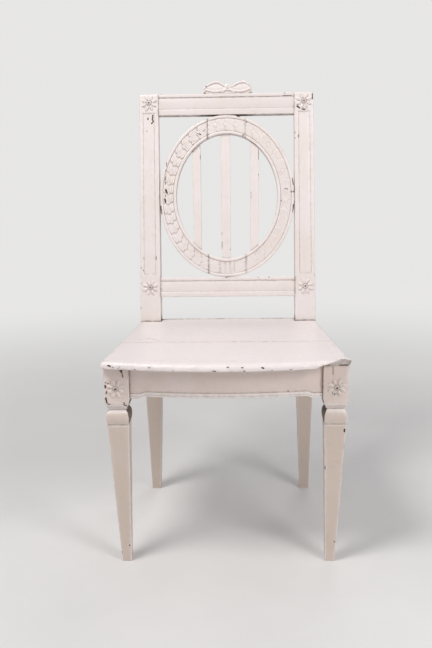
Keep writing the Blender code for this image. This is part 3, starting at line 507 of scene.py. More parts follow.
def peg_head(centre, way, place):
    """The end of a peg under the paint, hardly proud of the face."""
    way = np.array(way, float)
    other = np.array([0.0, 0.0, 1.0]) if abs(way[2]) < 0.5 else np.array([1.0, 0.0, 0.0])
    first = np.cross(way, other)
    first /= np.linalg.norm(first)
    second = np.cross(way, first)
    angle = np.linspace(0, 2 * math.pi, 20, endpoint=False)
    rows = []
    for share, out in ((1.0, -1.0), (1.0, 0.05), (0.93, 0.22), (0.7, 0.26), (0.3, 0.3), (0.05, 0.31)):
        ring = np.outer(np.cos(angle), first) + np.outer(np.sin(angle), second)
        rows.append(ring * share * 3 * MM + way * out * MM)
    rows = np.array(rows)
    return piece("head", place(rows + np.array(centre)), rows)


# Rails

# Down the front of a back rail from its top edge, in mm: distance and depth. The low band is counted from
# its own upper edge
RAIL_TOP_FACE = ((0.0, 1.4), (0.4, 0.5), (1.2, 0.1), (3.2, 0.0), (5.6, 0.0), (7.2, 0.3), (7.8, 1.2),
                 (8.3, 1.75), (9.2, 1.8), (10.0, 1.4))
RAIL_LOW_FACE = ((-3.0, 1.35), (-1.4, 1.55), (-0.4, 1.6), (0.3, 0.5), (1.0, 0.1), (3.0, 0.0))


def back_rail(name, low, high, band):
    """A rail of the back. band is the width of its lower moulding."""
    height, thick, cut = high - low, RAIL_THICKNESS, 1.5 * MM
    start, end = 10 * MM, height - band - 3 * MM
    front = [(d * MM, deep * MM) for d, deep in RAIL_TOP_FACE]
    front += [(start + (end - start) * k / 6, (1.35 - 0.7 * math.sin(math.pi * k / 6)) * MM)
              for k in range(1, 6)]
    front += [(height - band + d * MM, deep * MM) for d, deep in RAIL_LOW_FACE]
    front += [(height - d * MM, deep * MM) for d, deep in ((3.0, 0.0), (1.0, 0.25), (0.3, 0.8), (0.0, 1.7))]
    back = [(height, thick * k / 5) for k in range(1, 5)] + [(height, thick - cut), (height - cut, thick)]
    back += [(height * (1 - k / 8), thick) for k in range(1, 8)] + [(cut, thick), (0.0, thick - cut)]
    back += [(0.0, thick * k / 5) for k in range(4, 0, -1)]
    half = POST_INNER - CLEARANCE
    keys = [[(x, BACK_SETBACK + deep, high - d) for d, deep in front + back] for x in (-half, half)]
    return lofted(name, keys, 3.5 * MM, to_back, across_axis=2)


# The apron between the front legs: its lower edge steps up towards its middle, and its face is bowed
APRON_HEIGHT = 0.0662
APRON_STEP = (0.153, 0.171)
APRON_LIFT = 0.005
APRON_INSET = 0.008
APRON_BOW = 0.020
# Its bead, in mm: height over the lower edge, and depth behind the face
APRON_BEAD = ((10.4, 0.0), (9.9, 0.5), (9.6, 0.3), (9.3, -0.6), (8.8, -1.7), (8.2, -2.6), (7.4, -3.1),
              (6.4, -3.2), (5.0, -3.0), (4.2, -2.6), (3.4, -2.9), (2.2, -3.2), (1.0, -2.9), (0.2, -1.6),
              (0.0, 0.6))
SIDE_RAIL_HEIGHT = 0.0607
SIDE_RAIL_INSET = 0.002
REAR_RAIL_HEIGHT = 0.0547
REAR_RAIL_INSET = 0.001
RAIL_GAP = 0.1 * MM


def front_rail_low(x):
    return RAIL_TOP - APRON_HEIGHT + APRON_LIFT * smooth(APRON_STEP[1], APRON_STEP[0], abs(x))


def front_rail_face(x):
    return -LEG_HALF + APRON_INSET - APRON_BOW * (1 - (x / LEG_INNER) ** 2)


def front_rail():
    """The bowed apron with its shaped lower edge, a bead along it and a quirk above the bead."""
    half, thick, top = LEG_INNER - CLEARANCE, RAIL_THICKNESS, RAIL_TOP - RAIL_GAP
    keys = []
    for x in steps(-half, half, 3.2 * MM, [s * v for s in (-1, 1) for v in np.linspace(*APRON_STEP, 10)]):
        low, face = front_rail_low(x), front_rail_face(x)
        over = low + APRON_BEAD[0][0] * MM
        front = [(top, 0.0)] + [(RAIL_TOP + (over - RAIL_TOP) * k / 16, 0.0) for k in range(1, 16)]
        front += [(low + v * MM, out * MM) for v, out in APRON_BEAD]
        back = [(low, thick * k / 4) for k in range(1, 4)]
        back += [(low, thick - 1.2 * MM), (low + 1.2 * MM, thick)]
        back += [(low + (RAIL_TOP - low) * k / 6, thick) for k in range(1, 6)]
        back += [(RAIL_TOP - 1.0 * MM, thick), (top, thick - 1 * MM)]
        back += [(top, thick * k / 4) for k in (3, 2, 1)]
        keys.append([(x, face + deep, z) for z, deep in front + back])
    return lofted("front_rail_worn", keys, 8 * MM, to_chair, across_axis=2)


def box_rail(name, ends, height):
    """A plain rail with knocked edges between two ends, each given by its two sides in plan."""
    keys = []
    for (x0, y0), (x1, y1) in ends:
        wide = math.hypot(x1 - x0, y1 - y0)
        outline = box_outline((0.0, RAIL_TOP - height), (wide, RAIL_TOP - RAIL_GAP), 1.8 * MM, 3, 6)
        keys.append([(x0 + (x1 - x0) * u / wide, y0 + (y1 - y0) * u / wide, z) for u, z in outline])
    return lofted(name, keys, 4 * MM, to_chair, across_axis=2)


def side_rail(word, side):
    front, rear = LEG_X + LEG_HALF, POST_INNER + POST_WIDTHS["seat"]
    ends = []
    for y in (LEG_HALF + CLEARANCE, FRAME_DEPTH - CLEARANCE):
        outer = front + (rear - front) * (y - LEG_HALF) / (FRAME_DEPTH - LEG_HALF) - SIDE_RAIL_INSET
        ends.append(((side * (outer - RAIL_THICKNESS), y), (side * outer, y)))
    return box_rail(f"side_rail_{word}_worn", ends, SIDE_RAIL_HEIGHT)


def rear_seat_rail():
    half, rear = POST_INNER - CLEARANCE, FRAME_DEPTH + REAR_OVERHANG - REAR_RAIL_INSET
    ends = [((x, rear - RAIL_THICKNESS), (x, rear)) for x in (-half, half)]
    return box_rail("rear_seat_rail_worn", ends, REAR_RAIL_HEIGHT)


# Medallion

LEAF_PITCH = 0.022
# Each leaf of a cluster: place and half width as shares of the band, and lead of its tip and length as
# shares of the pitch
LEAVES = ((0.19, 0.17, 0.10, 1.15), (0.81, 0.17, 0.10, 1.15), (0.5, 0.19, 0.27, 1.35))
BERRIES = ((0.345, -0.02), (0.655, -0.02))
# Width of the carved band, in mm
LEAF_BAND = 24


def leaf_height(along, across, length):
    """Height of the carving at a distance along a piece's band and a share across its ground, in mm."""
    count = max(1, round(length / LEAF_PITCH))
    pitch = length / count
    total = np.zeros(np.broadcast(along, across).shape)
    for i in range(count + 1):
        for middle, half, lead, long in LEAVES:
            tip = (i + 1 + lead) * pitch if i < count - 1 else (i + 1) * pitch
            behind = (tip - along) / (long * pitch)
            on = (behind > 0) & (behind < 1)
            share = np.clip(behind, 0.0001, 0.9999)
            full = np.clip(share / 0.42, 0, 1)
            width = half * 1.22 * np.sqrt(full * (2 - full)) + 0.02
            side = np.abs(across - middle) / width
            dome = 1 - (1 - np.sqrt(np.clip(1 - side ** 2.4, 0, 1))) * (0.25 + 0.75 * smooth(0.8, 0.2, share))
            rise = 0.5 + 2.2 * smooth(0.85, 0.08, share) * smooth(0.0, 0.03, share)
            vein = 0.3 * np.exp(-((across - middle) * LEAF_BAND / 1.3) ** 2) * smooth(0.8, 0.3, share)
            vein = vein * smooth(0, 0.2, share)
            total = np.maximum(total, np.where(on & (side < 1), rise * (0.35 + 0.65 * dome) - vein, 0))
        for middle, lead in BERRIES:
            if i < count - 1:
                near = np.hypot((along - (i + 1 + lead) * pitch) / MM, (across - middle) * LEAF_BAND) / 2.1
                total = np.maximum(total, 2.5 * np.sqrt(np.clip(1 - near ** 2, 0, 1)))
    return total


def soft_leaves(along, across, length):
    """The leaves where the paint lies thicker on them."""
    return 0.9 + 0.66 * leaf_height(along, across, length)


def strap_height(along, across, length):
    """Leaves at both ends and a tie of three straps in the middle."""
    low, high = length * 0.3, length * 0.7
    first = leaf_height(along, across, low)
    last = leaf_height(along - high, across, low)
    strap = ((along - low) / (high - low)) * 3
    fold = np.abs(strap % 1.0 - 0.5) * 2
    band = 2.5 * np.sqrt(np.clip(1 - (fold / 0.72) ** 4, 0, 1)) - 0.4 * (np.abs(fold - 0.36) < 0.1)
    band = band * (1 - 0.25 * np.abs(across - 0.5) * 2)
    return np.where(along < low, first, np.where(along > high, last, np.maximum(band, 0)))


def ring_edges(start, end, share):
    pair = []
    for half, first, last in zip((RING_INNER, RING_OUTER), start, end):
        angle = first + (last - first) * share
        pair.append(points_of(half[0] * np.cos(angle), 0, half[1] * np.sin(angle)))
    return pair


RING_COLUMNS = 38
# Across a bead of the ring from the edge, in mm: distance and depth
BEAD = ((0.0, 1.9), (0.25, 1.1), (0.8, 0.5), (1.7, 0.12), (3.2, 0.0), (4.8, 0.12), (6.0, 0.55), (6.7, 1.3),
        (7.1, 2.3), (7.5, 3.1))


def ring_piece(name, start, end, height):
    """One piece of the ring: a bead on each edge and carving between them, fine enough to carry each leaf."""
    shares = np.linspace(0, 1, 400)
    inner, outer = ring_edges(start, end, shares)
    middle = (inner + outer) / 2
    distance = np.concatenate([[0], np.cumsum(np.linalg.norm(np.diff(middle, axis=0), axis=1))])
    length = distance[-1]
    count = max(4, round(length / (1.15 * MM)))
    share = np.interp(np.linspace(0, length, count + 1), distance, shares)
    along = np.linspace(0, length, count + 1)
    inner, outer = ring_edges(start, end, share)
    band = np.linalg.norm(outer - inner, axis=1)
    places, grain = [], []

    def put(across, deep):
        """across in metres from the inner edge, deep in metres behind the front."""
        point = inner + (outer - inner) * (across / band)[:, None]
        point[:, 1] = BACK_SETBACK + deep
        point[:, 2] += RING_CENTRE
        places.append(point)
        grain.append(points_of(along, across, deep))

    for d, deep in BEAD:
        put(d * MM, deep * MM)
    for k in range(1, RING_COLUMNS):
        across = k / RING_COLUMNS
        put(RING_BEAD + (band - 2 * RING_BEAD) * across, RING_GROUND - height(along, across, length) * MM)
    for d, deep in BEAD[::-1]:
        put(band - d * MM, deep * MM)
    thick, cut = RING_THICKNESS, 1.5 * MM
    for k in range(1, 5):
        put(band, thick * k / 5)
    put(band, thick - cut)
    put(band - cut, thick)
    for k in range(1, 8):
        put(band * (1 - k / 8), thick)
    put(cut, thick)
    put(0.0, thick - cut)
    for k in range(4, 0, -1):
        put(0.0, thick * k / 5)
    places, grain = np.array(places).transpose(1, 0, 2), np.array(grain).transpose(1, 0, 2)
    return piece(name, to_back(places), grain)


def joint_angles(x, above):
    angles = [math.acos(x / half[0]) for half in (RING_INNER, RING_OUTER)]
    return angles if above else [-a for a in angles]


def medallion():
    near, far = RING_JOINT - CLEARANCE / 2, RING_JOINT + CLEARANCE / 2
    left_end = [2 * math.pi + a for a in joint_angles(-far, False)]
    pieces = {"top": (joint_angles(near, True), joint_angles(-near, True), soft_leaves),
              "bottom": (joint_angles(-near, False), joint_angles(near, False), strap_height),
              "left": (joint_angles(-far, True), left_end, leaf_height),
              "right": (joint_angles(far, False), joint_angles(far, True), soft_leaves)}
    return {word: ring_piece(f"medallion_{word}_worn", *ends) for word, ends in pieces.items()}


SPLAT_DEPTH = 0.011
SPLAT_SETBACK = 0.0065
SPLAT_TENON = 0.011
# Place across, width, and how far the foot leans to the right
SPLATS = {"left": (-0.068, 0.018, 0.0004), "middle": (-0.0026, 0.0205, 0.0), "right": (0.063, 0.018, -0.0015)}


def splat(name, x, width, lean):
    """An upright bar. lean moves its foot to the right and its top to the left."""
    reach = RING_INNER[1] * math.sqrt(1 - (x / RING_INNER[0]) ** 2) + SPLAT_TENON
    outline = box_outline((-width / 2, 0.0), (width / 2, SPLAT_DEPTH), 1.5 * MM, 3, 6)
    keys = [[(x - lean * z / reach + d, SPLAT_SETBACK + deep, RING_CENTRE + z) for d, deep in outline]
            for z in (-reach, reach)]
    return lofted(name, keys, 3.5 * MM, to_back)


# Bow

BOW_HALF, BOW_HEIGHT, BOW_SHIFT = 0.055, 0.028, 0.0037
BOW_PEAKS, BOW_DIP, BOW_TIP, BOW_FOOT = {-1: 0.46, 1: 0.62}, 0.6, 0.42, 0.8
BOW_RIBBON, BOW_GROUND, BOW_THICKNESS = 0.0045, 0.0035, 0.012


def bow_top(across):
    peak = BOW_PEAKS[-1 if across < 0 else 1]
    share = abs(across)
    if share < peak:
        return BOW_HEIGHT * (BOW_DIP + (1 - BOW_DIP) * (1 - math.cos(math.pi * share / peak)) / 2)
    return BOW_HEIGHT * (1 - (1 - BOW_TIP) * ((share - peak) / (1 - peak)) ** 2)


def bow_column(across):
    """An upright section of the bow: foot, lower ribbon, sunk loop, upper ribbon, back."""
    top = bow_top(across)
    tuck = max(0.0, (abs(across) - BOW_FOOT) / (1 - BOW_FOOT))
    low = (top - 2 * BOW_RIBBON - 1.5 * MM) * tuck * tuck
    room = (top - low - 2 * BOW_RIBBON) * math.sqrt(max(0.0, math.sin(math.pi * abs(across))))
    eye_top = top - BOW_RIBBON
    eye_low = eye_top - max(1.5 * MM, room - 2.2 * MM)
    foot = max(low + 0.5 * MM, eye_low - BOW_RIBBON)
    sunk = BOW_GROUND * min(1.0, (eye_top - eye_low) / BOW_RIBBON)
    front = [(low, BOW_GROUND + 1 * MM), (low + 0.15 * MM, BOW_GROUND)]
    front += [(low + (foot - low) * k / 4, BOW_GROUND * (1 - 0.06 * math.sin(math.pi * k / 4)))
              for k in (1, 2, 3)]
    for k in range(7):
        t = k / 6
        edge = 0.5 * MM if k in (0, 6) else 0.1 * MM
        front.append((foot + (eye_low - foot) * t, 1.6 * MM * (2 * t - 1) ** 2 + edge))
    for k in range(1, 10):
        t = k / 10
        pillow = 1.1 * MM * math.sin(math.pi * t) * min(1, sunk / BOW_GROUND)
        front.append((eye_low + (eye_top - eye_low) * t, max(1.9 * MM, sunk - pillow)))
    for k in range(8):
        t = k / 7
        edge = 0.5 * MM if k == 0 else 0
        front.append((eye_top + (top - eye_top) * t, 1.7 * MM * abs(2 * t - 1) ** 2.4 + edge))
    thick = BOW_THICKNESS
    back = [(top, 4 * MM), (top, 8 * MM), (top, thick - 1 * MM), (top - 1 * MM, thick)]
    back += [(top + (low - top) * k / 4, thick) for k in (1, 2, 3)]
    back += [(low + 1 * MM, thick), (low, thick - 1 * MM), (low, 8 * MM)]
    return [(BOW_SHIFT + BOW_HALF * across, BACK_SETBACK + deep, BACK_LENGTH + CLEARANCE + z)
            for z, deep in front + back]


# The knot in the middle of the bow: share of its size, and depth in mm
KNOT = ((1.0, 4.5), (1.0, 1.4), (0.95, 0.6), (0.84, 0.0), (0.66, -0.5), (0.45, -0.85), (0.3, -1.0),
        (0.21, -0.95), (0.17, -0.4), (0.14, 1.2), (0.08, 1.8))


def bow_knot():
    angle = np.linspace(0, 2 * math.pi, 40, endpoint=False)
    rows = np.array([points_of(6.4 * MM * share * np.cos(angle), deep * MM, 6.0 * MM * share * np.sin(angle))
                     for share, deep in KNOT])
    centre = np.array([BOW_SHIFT, BACK_SETBACK, BACK_LENGTH + BOW_HEIGHT * BOW_DIP])
    return piece("bow_knot", to_back(rows + centre), rows[..., [2, 0, 1]])


def bow_tail(word, side, reach, low):
    """An end of the ribbon, from the knot down to low and out to reach, both in mm."""
    keys = []
    high = BOW_HEIGHT * BOW_DIP - 3.5 * MM
    for t in np.linspace(0, 1, 16):
        x = side * (2.5 + (reach - 2.5) * t ** 0.9) * MM
        z = high + (low * MM - high) * t ** 1.2
        wide = (1.3 + 1.7 * math.sin(math.pi * min(1, 0.15 + t * 0.7))) * MM
        key = []
        for a in np.linspace(0, 2 * math.pi, 14, endpoint=False):
            u = wide * math.cos(a)
            deep = 1.1 * (1 - 0.5 * t) if math.sin(a) > 0 else 2.2
            key.append((BOW_SHIFT + x + u * 0.75, BACK_SETBACK + (1.5 - deep * math.sin(a)) * MM,
                        BACK_LENGTH + z + u * 0.65 * side))
        keys.append(key)
    return lofted(f"bow_tail_{word}", keys, 9 * MM, to_back)


def crest_bow():
    keys = [bow_column(across) for across in np.linspace(-1, 1, 111)]
    return [lofted("crest_bow_worn", keys, 9 * MM, to_back, across_axis=2), bow_knot(),
            bow_tail("right", 1, 15.0, 2.5), bow_tail("left", -1, 13.0, 3.5)]


# Seat

SEAT_OVERHANG = 0.0195
SEAT_SIDE_OVERHANG = 0.0025
SEAT_FRONT = -LEG_HALF - SEAT_OVERHANG
SEAT_BOW = 0.028
SEAT_FRONT_HALF = LEG_X + LEG_HALF + SEAT_SIDE_OVERHANG
SEAT_REAR_HALF = POST_INNER + POST_WIDTHS["seat"]
SEAT_SEAM = 0.1095
SEAT_REAR = FRAME_DEPTH + REAR_OVERHANG
SEAT_PITCH = 0.0042
NOSING = 0.0085
NOSING_UNDER = 0.0022
# The broken front right corner: where the split runs across the top, how far back it goes under the seat, and
# how high the torn underside rises across
SPLIT = ((0.2035, 0.2212, 0.2385), (-0.0517, -0.0345, -0.0444))
SPLIT_FOOT = -0.0272
SPLIT_RISE = ((0.160, 0.168, 0.183, 0.2035, 0.24), (0.0, 0.0012, 0.0068, 0.0122, 0.0122))


def seat_half(y):
    share = (y - SEAT_FRONT) / (FRAME_DEPTH - SEAT_FRONT)
    return SEAT_FRONT_HALF + (SEAT_REAR_HALF - SEAT_FRONT_HALF) * share


def seat_front(x):
    return SEAT_FRONT - SEAT_BOW * (1 - (x / SEAT_FRONT_HALF) ** 2)


def fall(distance, radius):
    """How far a rounded edge drops at a distance in from it."""
    inside = np.clip(radius - distance, 0, radius)
    return radius - np.sqrt(np.maximum(radius ** 2 - inside ** 2, 0))


def board(name, x, y, top, bottom):
    """A closed board from grids of its top and its underside."""
    rows, columns = x.shape
    count = rows * columns
    index = np.arange(count).reshape(rows, columns)
    quads = np.stack([index[:-1, :-1], index[:-1, 1:], index[1:, 1:], index[1:, :-1]], axis=-1).reshape(-1, 4)
    loop = np.concatenate([index[0, :-1], index[:-1, -1], index[-1, :0:-1], index[:0:-1, 0]])
    after = np.roll(loop, -1)
    walls = np.stack([loop, loop + count, after + count, after], axis=-1)
    faces = np.concatenate([quads, quads[:, ::-1] + count, walls])
    places = np.concatenate([points_of(x, y, z).reshape(-1, 3) for z in (top, bottom)])
    return built(name, to_chair(places), places, faces.tolist())


def edge_stations(reach, fine_low, fine_high):
    """Stations from 0 to 1 along a reach, close together at the ends that are rounded."""
    close = np.array([0.0, 0.12, 0.35, 0.75, 1.35, 2.1, 3.1, 4.3, 5.7, 7.2, 8.8]) * MM
    arris = np.array([0.0, 0.15, 0.4, 0.8, 2.0]) * MM
    low = close if fine_low else arris
    high = close if fine_high else arris
    middle = np.arange(low[-1] + SEAT_PITCH, reach - high[-1] - SEAT_PITCH / 2, SEAT_PITCH)
    return np.concatenate([low, middle, (reach - high)[::-1]]) / reach


def seat_levels(x, y, front, side, seam, rear):
    """Top and underside of the seat from the distances to its edges, None where there is no such edge."""
    places = points_of(x, y, 0)
    drop, lift = np.zeros_like(x), np.zeros_like(x)
    sharp = NOSING - (NOSING - 1.2 * MM) * smooth(SPLIT[0][0] - 0.006, SPLIT[0][0] + 0.003, x)
    # Paint fills the middle of the seam
    broken = noise(places * np.array([1, 0, 0]), 14 * MM, 37)
    open_seam = np.maximum(smooth(-0.08, -0.12, x), smooth(0.05, 0.09, x) * smooth(0.3, 0.55, broken))
    for distance, above, below in ((front, sharp, NOSING_UNDER), (side, 6 * MM, NOSING_UNDER),
                                   (seam, (0.12 + 0.8 * open_seam) * MM, 0.4 * MM), (rear, 1.5 * MM, 1 * MM)):
        if distance is not None:
            drop = np.maximum(drop, fall(distance, above))
            lift = np.maximum(lift, fall(distance, below))
    rough = noise(places, 11 * MM, 4)
    top = SEAT_HEIGHT - drop - 0.35 * MM * noise(places, 70 * MM, 2) - 0.15 * MM * rough
    bottom = SEAT_HEIGHT - SEAT_THICKNESS + lift
    if front is not None:
        beaten = smooth(15 * MM, 2 * MM, np.minimum(front, side))
        beaten = beaten * (smooth(0.4, 0.8, noise(places, 15 * MM, 6)) + 0.35 * noise(places, 6 * MM, 16))
        top = top - beaten * 1.6 * MM
        knobs = (noise(places, 4.5 * MM, 33) - 0.5) * smooth(9 * MM, 1 * MM, np.minimum(front, side))
        top, bottom = top + knobs * 1.5 * MM, bottom + knobs * 0.6 * MM
        rise = np.interp(x, *SPLIT_RISE) * (0.9 + 0.25 * noise(places, 8 * MM, 7))
        share = np.clip((SPLIT_FOOT - y) / np.maximum(SPLIT_FOOT - (y - front), 1 * MM), 0, 1)
        torn = SEAT_HEIGHT - SEAT_THICKNESS + rise * share ** 0.8
        knobs = (noise(places, 3 * MM, 9) - 0.4) * (rise > 2 * MM) * (share > 0)
        torn = torn + knobs * 0.9 * MM
        bottom = np.where(rise > 0, np.maximum(torn, bottom - lift * smooth(0, 3 * MM, rise)), bottom)
        lifted = smooth(0.214, 0.218, x) * smooth(0.238, 0.235, x) * smooth(0.004, -0.012, y)
        bottom = bottom + lifted * 1.5 * MM + smooth(-0.222, -0.230, x) * smooth(0.0, -0.01, y) * 0.8 * MM
    return np.maximum(top, bottom + 0.9 * MM), bottom


def seat_plank_front():
    seam = SEAT_SEAM - CLEARANCE / 2
    width, depth = 2 * SEAT_FRONT_HALF, seam - SEAT_FRONT
    across = np.concatenate([edge_stations(width, True, True), 1 - np.arange(8, 52, 1.6) * MM / width])
    along = np.concatenate([edge_stations(depth, True, False), np.arange(8, 34, 1.6) * MM / depth])
    u, v = np.meshgrid(np.unique(across) * 2 - 1, np.unique(along))
    side_y = SEAT_FRONT + depth * v
    x = u * seat_half(side_y)
    front_y = seat_front(x * SEAT_FRONT_HALF / seat_half(side_y))
    torn = np.interp(x, *SPLIT) + (noise(points_of(x, 0, 0), 4 * MM, 21) - 0.5) * 1.6 * MM
    front_y = np.where(x > SPLIT[0][0], np.maximum(front_y, torn), front_y)
    y = front_y + (seam - front_y) * v
    front, side = y - front_y, seat_half(side_y) - np.abs(x)
    places = points_of(x, y, 0)
    rough = 0.8 * noise(places, 18 * MM, 12) + 0.8 * noise(places, 5 * MM, 14)
    y = y + rough * MM * smooth(9 * MM, 0, front)
    x = x - np.sign(x) * 0.8 * MM * noise(places, 22 * MM, 13) * smooth(10 * MM, 0, side)
    return board("seat_plank_front_worn", x, y, *seat_levels(x, y, front, side, seam - y, None))


def seat_plank_rear():
    """The rear board, and its tongue between the posts."""
    seam, notch = SEAT_SEAM + CLEARANCE / 2, FRAME_DEPTH - CLEARANCE
    inner, rear_half = POST_INNER - CLEARANCE, seat_half(notch)
    wing = [0.0, 0.15, 0.45, 0.95, 1.65, 2.5, 3.5, 4.7, 6.0, 7.5]
    wing = np.concatenate([wing, np.arange(11.5, 43, 4.2)]) * MM
    wing = rear_half - wing[wing < rear_half - inner - 1 * MM]
    side = np.concatenate([wing, [inner + 0.5 * MM]])
    middle = np.linspace(-inner, inner, 74)
    lane = edge_stations(notch - seam, False, False) * (notch - seam) + seam
    x, y = np.meshgrid(np.concatenate([-side, middle, side[::-1]]), lane)
    fanned = np.sign(x) * (inner + (np.abs(x) - inner) * (seat_half(y) - inner) / (rear_half - inner))
    x = np.where(np.abs(x) > inner, fanned, x)
    levels = seat_levels(x, y, None, seat_half(y) - np.abs(x), y - seam, None)
    main = board("seat_plank_rear_worn", x, y, *levels)
    start = notch - 0.5 * MM
    lane = start + edge_stations(SEAT_REAR - start, False, False) * (SEAT_REAR - start)
    x, y = np.meshgrid(middle, lane)
    return [main, board("seat_plank_tail", x, y, *seat_levels(x, y, None, None, None, SEAT_REAR - y))]


# Paint and wood

class Graph:
    """Short ways to add shader nodes to a material or a world."""

    def __init__(self, data):
        data.use_nodes = True
        self.data = data
        self.tree = data.node_tree
        self.shader = self.tree.nodes.get("Principled BSDF")

    def link(self, value, socket):
        if isinstance(value, bpy.types.NodeSocket):
            self.tree.links.new(value, socket)
        else:
            socket.default_value = (*value, 1.0) if socket.type == "RGBA" else value

    def node(self, kind, inputs, output=0, **settings):
        """One output of a new node."""
        made = self.tree.nodes.new("ShaderNode" + kind)
        for name, value in settings.items():
            setattr(made, name, value)
        for name, value in inputs.items():
            self.link(value, made.inputs[name])
        return made.outputs[output]

    def attribute(self, name, output="Fac"):
        return self.node("Attribute", {}, output, attribute_name=name)

    def place(self):
        return self.node("TexCoord", {}, "Object")

    def stretch(self, vector, scale):
        return self.node("Mapping", {"Vector": vector, "Scale": scale})

    def noise(self, vector, scale, detail=3.0, rough=0.55, distort=0.0):
        return self.node("TexNoise", {"Vector": vector, "Scale": scale, "Detail": detail, "Roughness": rough,
                                      "Distortion": distort}, "Fac")

    def cells(self, vector, scale):
        return self.node("TexVoronoi", {"Vector": vector, "Scale": scale}, "Distance",
                         feature="DISTANCE_TO_EDGE")

    def math(self, operation, first, second):
        return self.node("Math", {0: first, 1: second}, operation=operation)

    def times(self, first, second):
        return self.math("MULTIPLY", first, second)

    def plus(self, first, second):
        return self.math("ADD", first, second)

    def step(self, value, low, high, to_low=0.0, to_high=1.0):
        ends = {"From Min": low, "From Max": high, "To Min": to_low, "To Max": to_high}
        return self.node("MapRange", {"Value": value, **ends}, interpolation_type="SMOOTHSTEP")

    def mix(self, factor, first, second):
        return self.node("Mix", {0: factor, 6: first, 7: second}, 2, data_type="RGBA")

    def bump(self, height, distance):
        return self.node("Bump", {"Height": height, "Distance": distance, "Strength": 1.0}, "Normal")


PAINT = (0.82, 0.748, 0.732)
PAINT_AGED = (0.77, 0.675, 0.605)
# Lighter paint for a painted highlight
PAINT_HIGHLIGHT = (0.93, 0.875, 0.85)
PAINT_GREY = (0.70, 0.648, 0.63)
# Colour of dust low on the chair, which also stands for the shade under the seat
PAINT_DUST_AND_SHADE = (0.58, 0.48, 0.40)
UNDERCOAT = (0.56, 0.44, 0.33)
# Dirt colours, also used as painted shade: in hollows and cracks, and deepest where pieces meet
DIRT_AND_SHADE = (0.27, 0.20, 0.155)
JOINT_SHADE_AND_DIRT = (0.125, 0.082, 0.058)
WOOD_DARK = (0.030, 0.018, 0.012)
WOOD_LIGHT = (0.095, 0.058, 0.036)


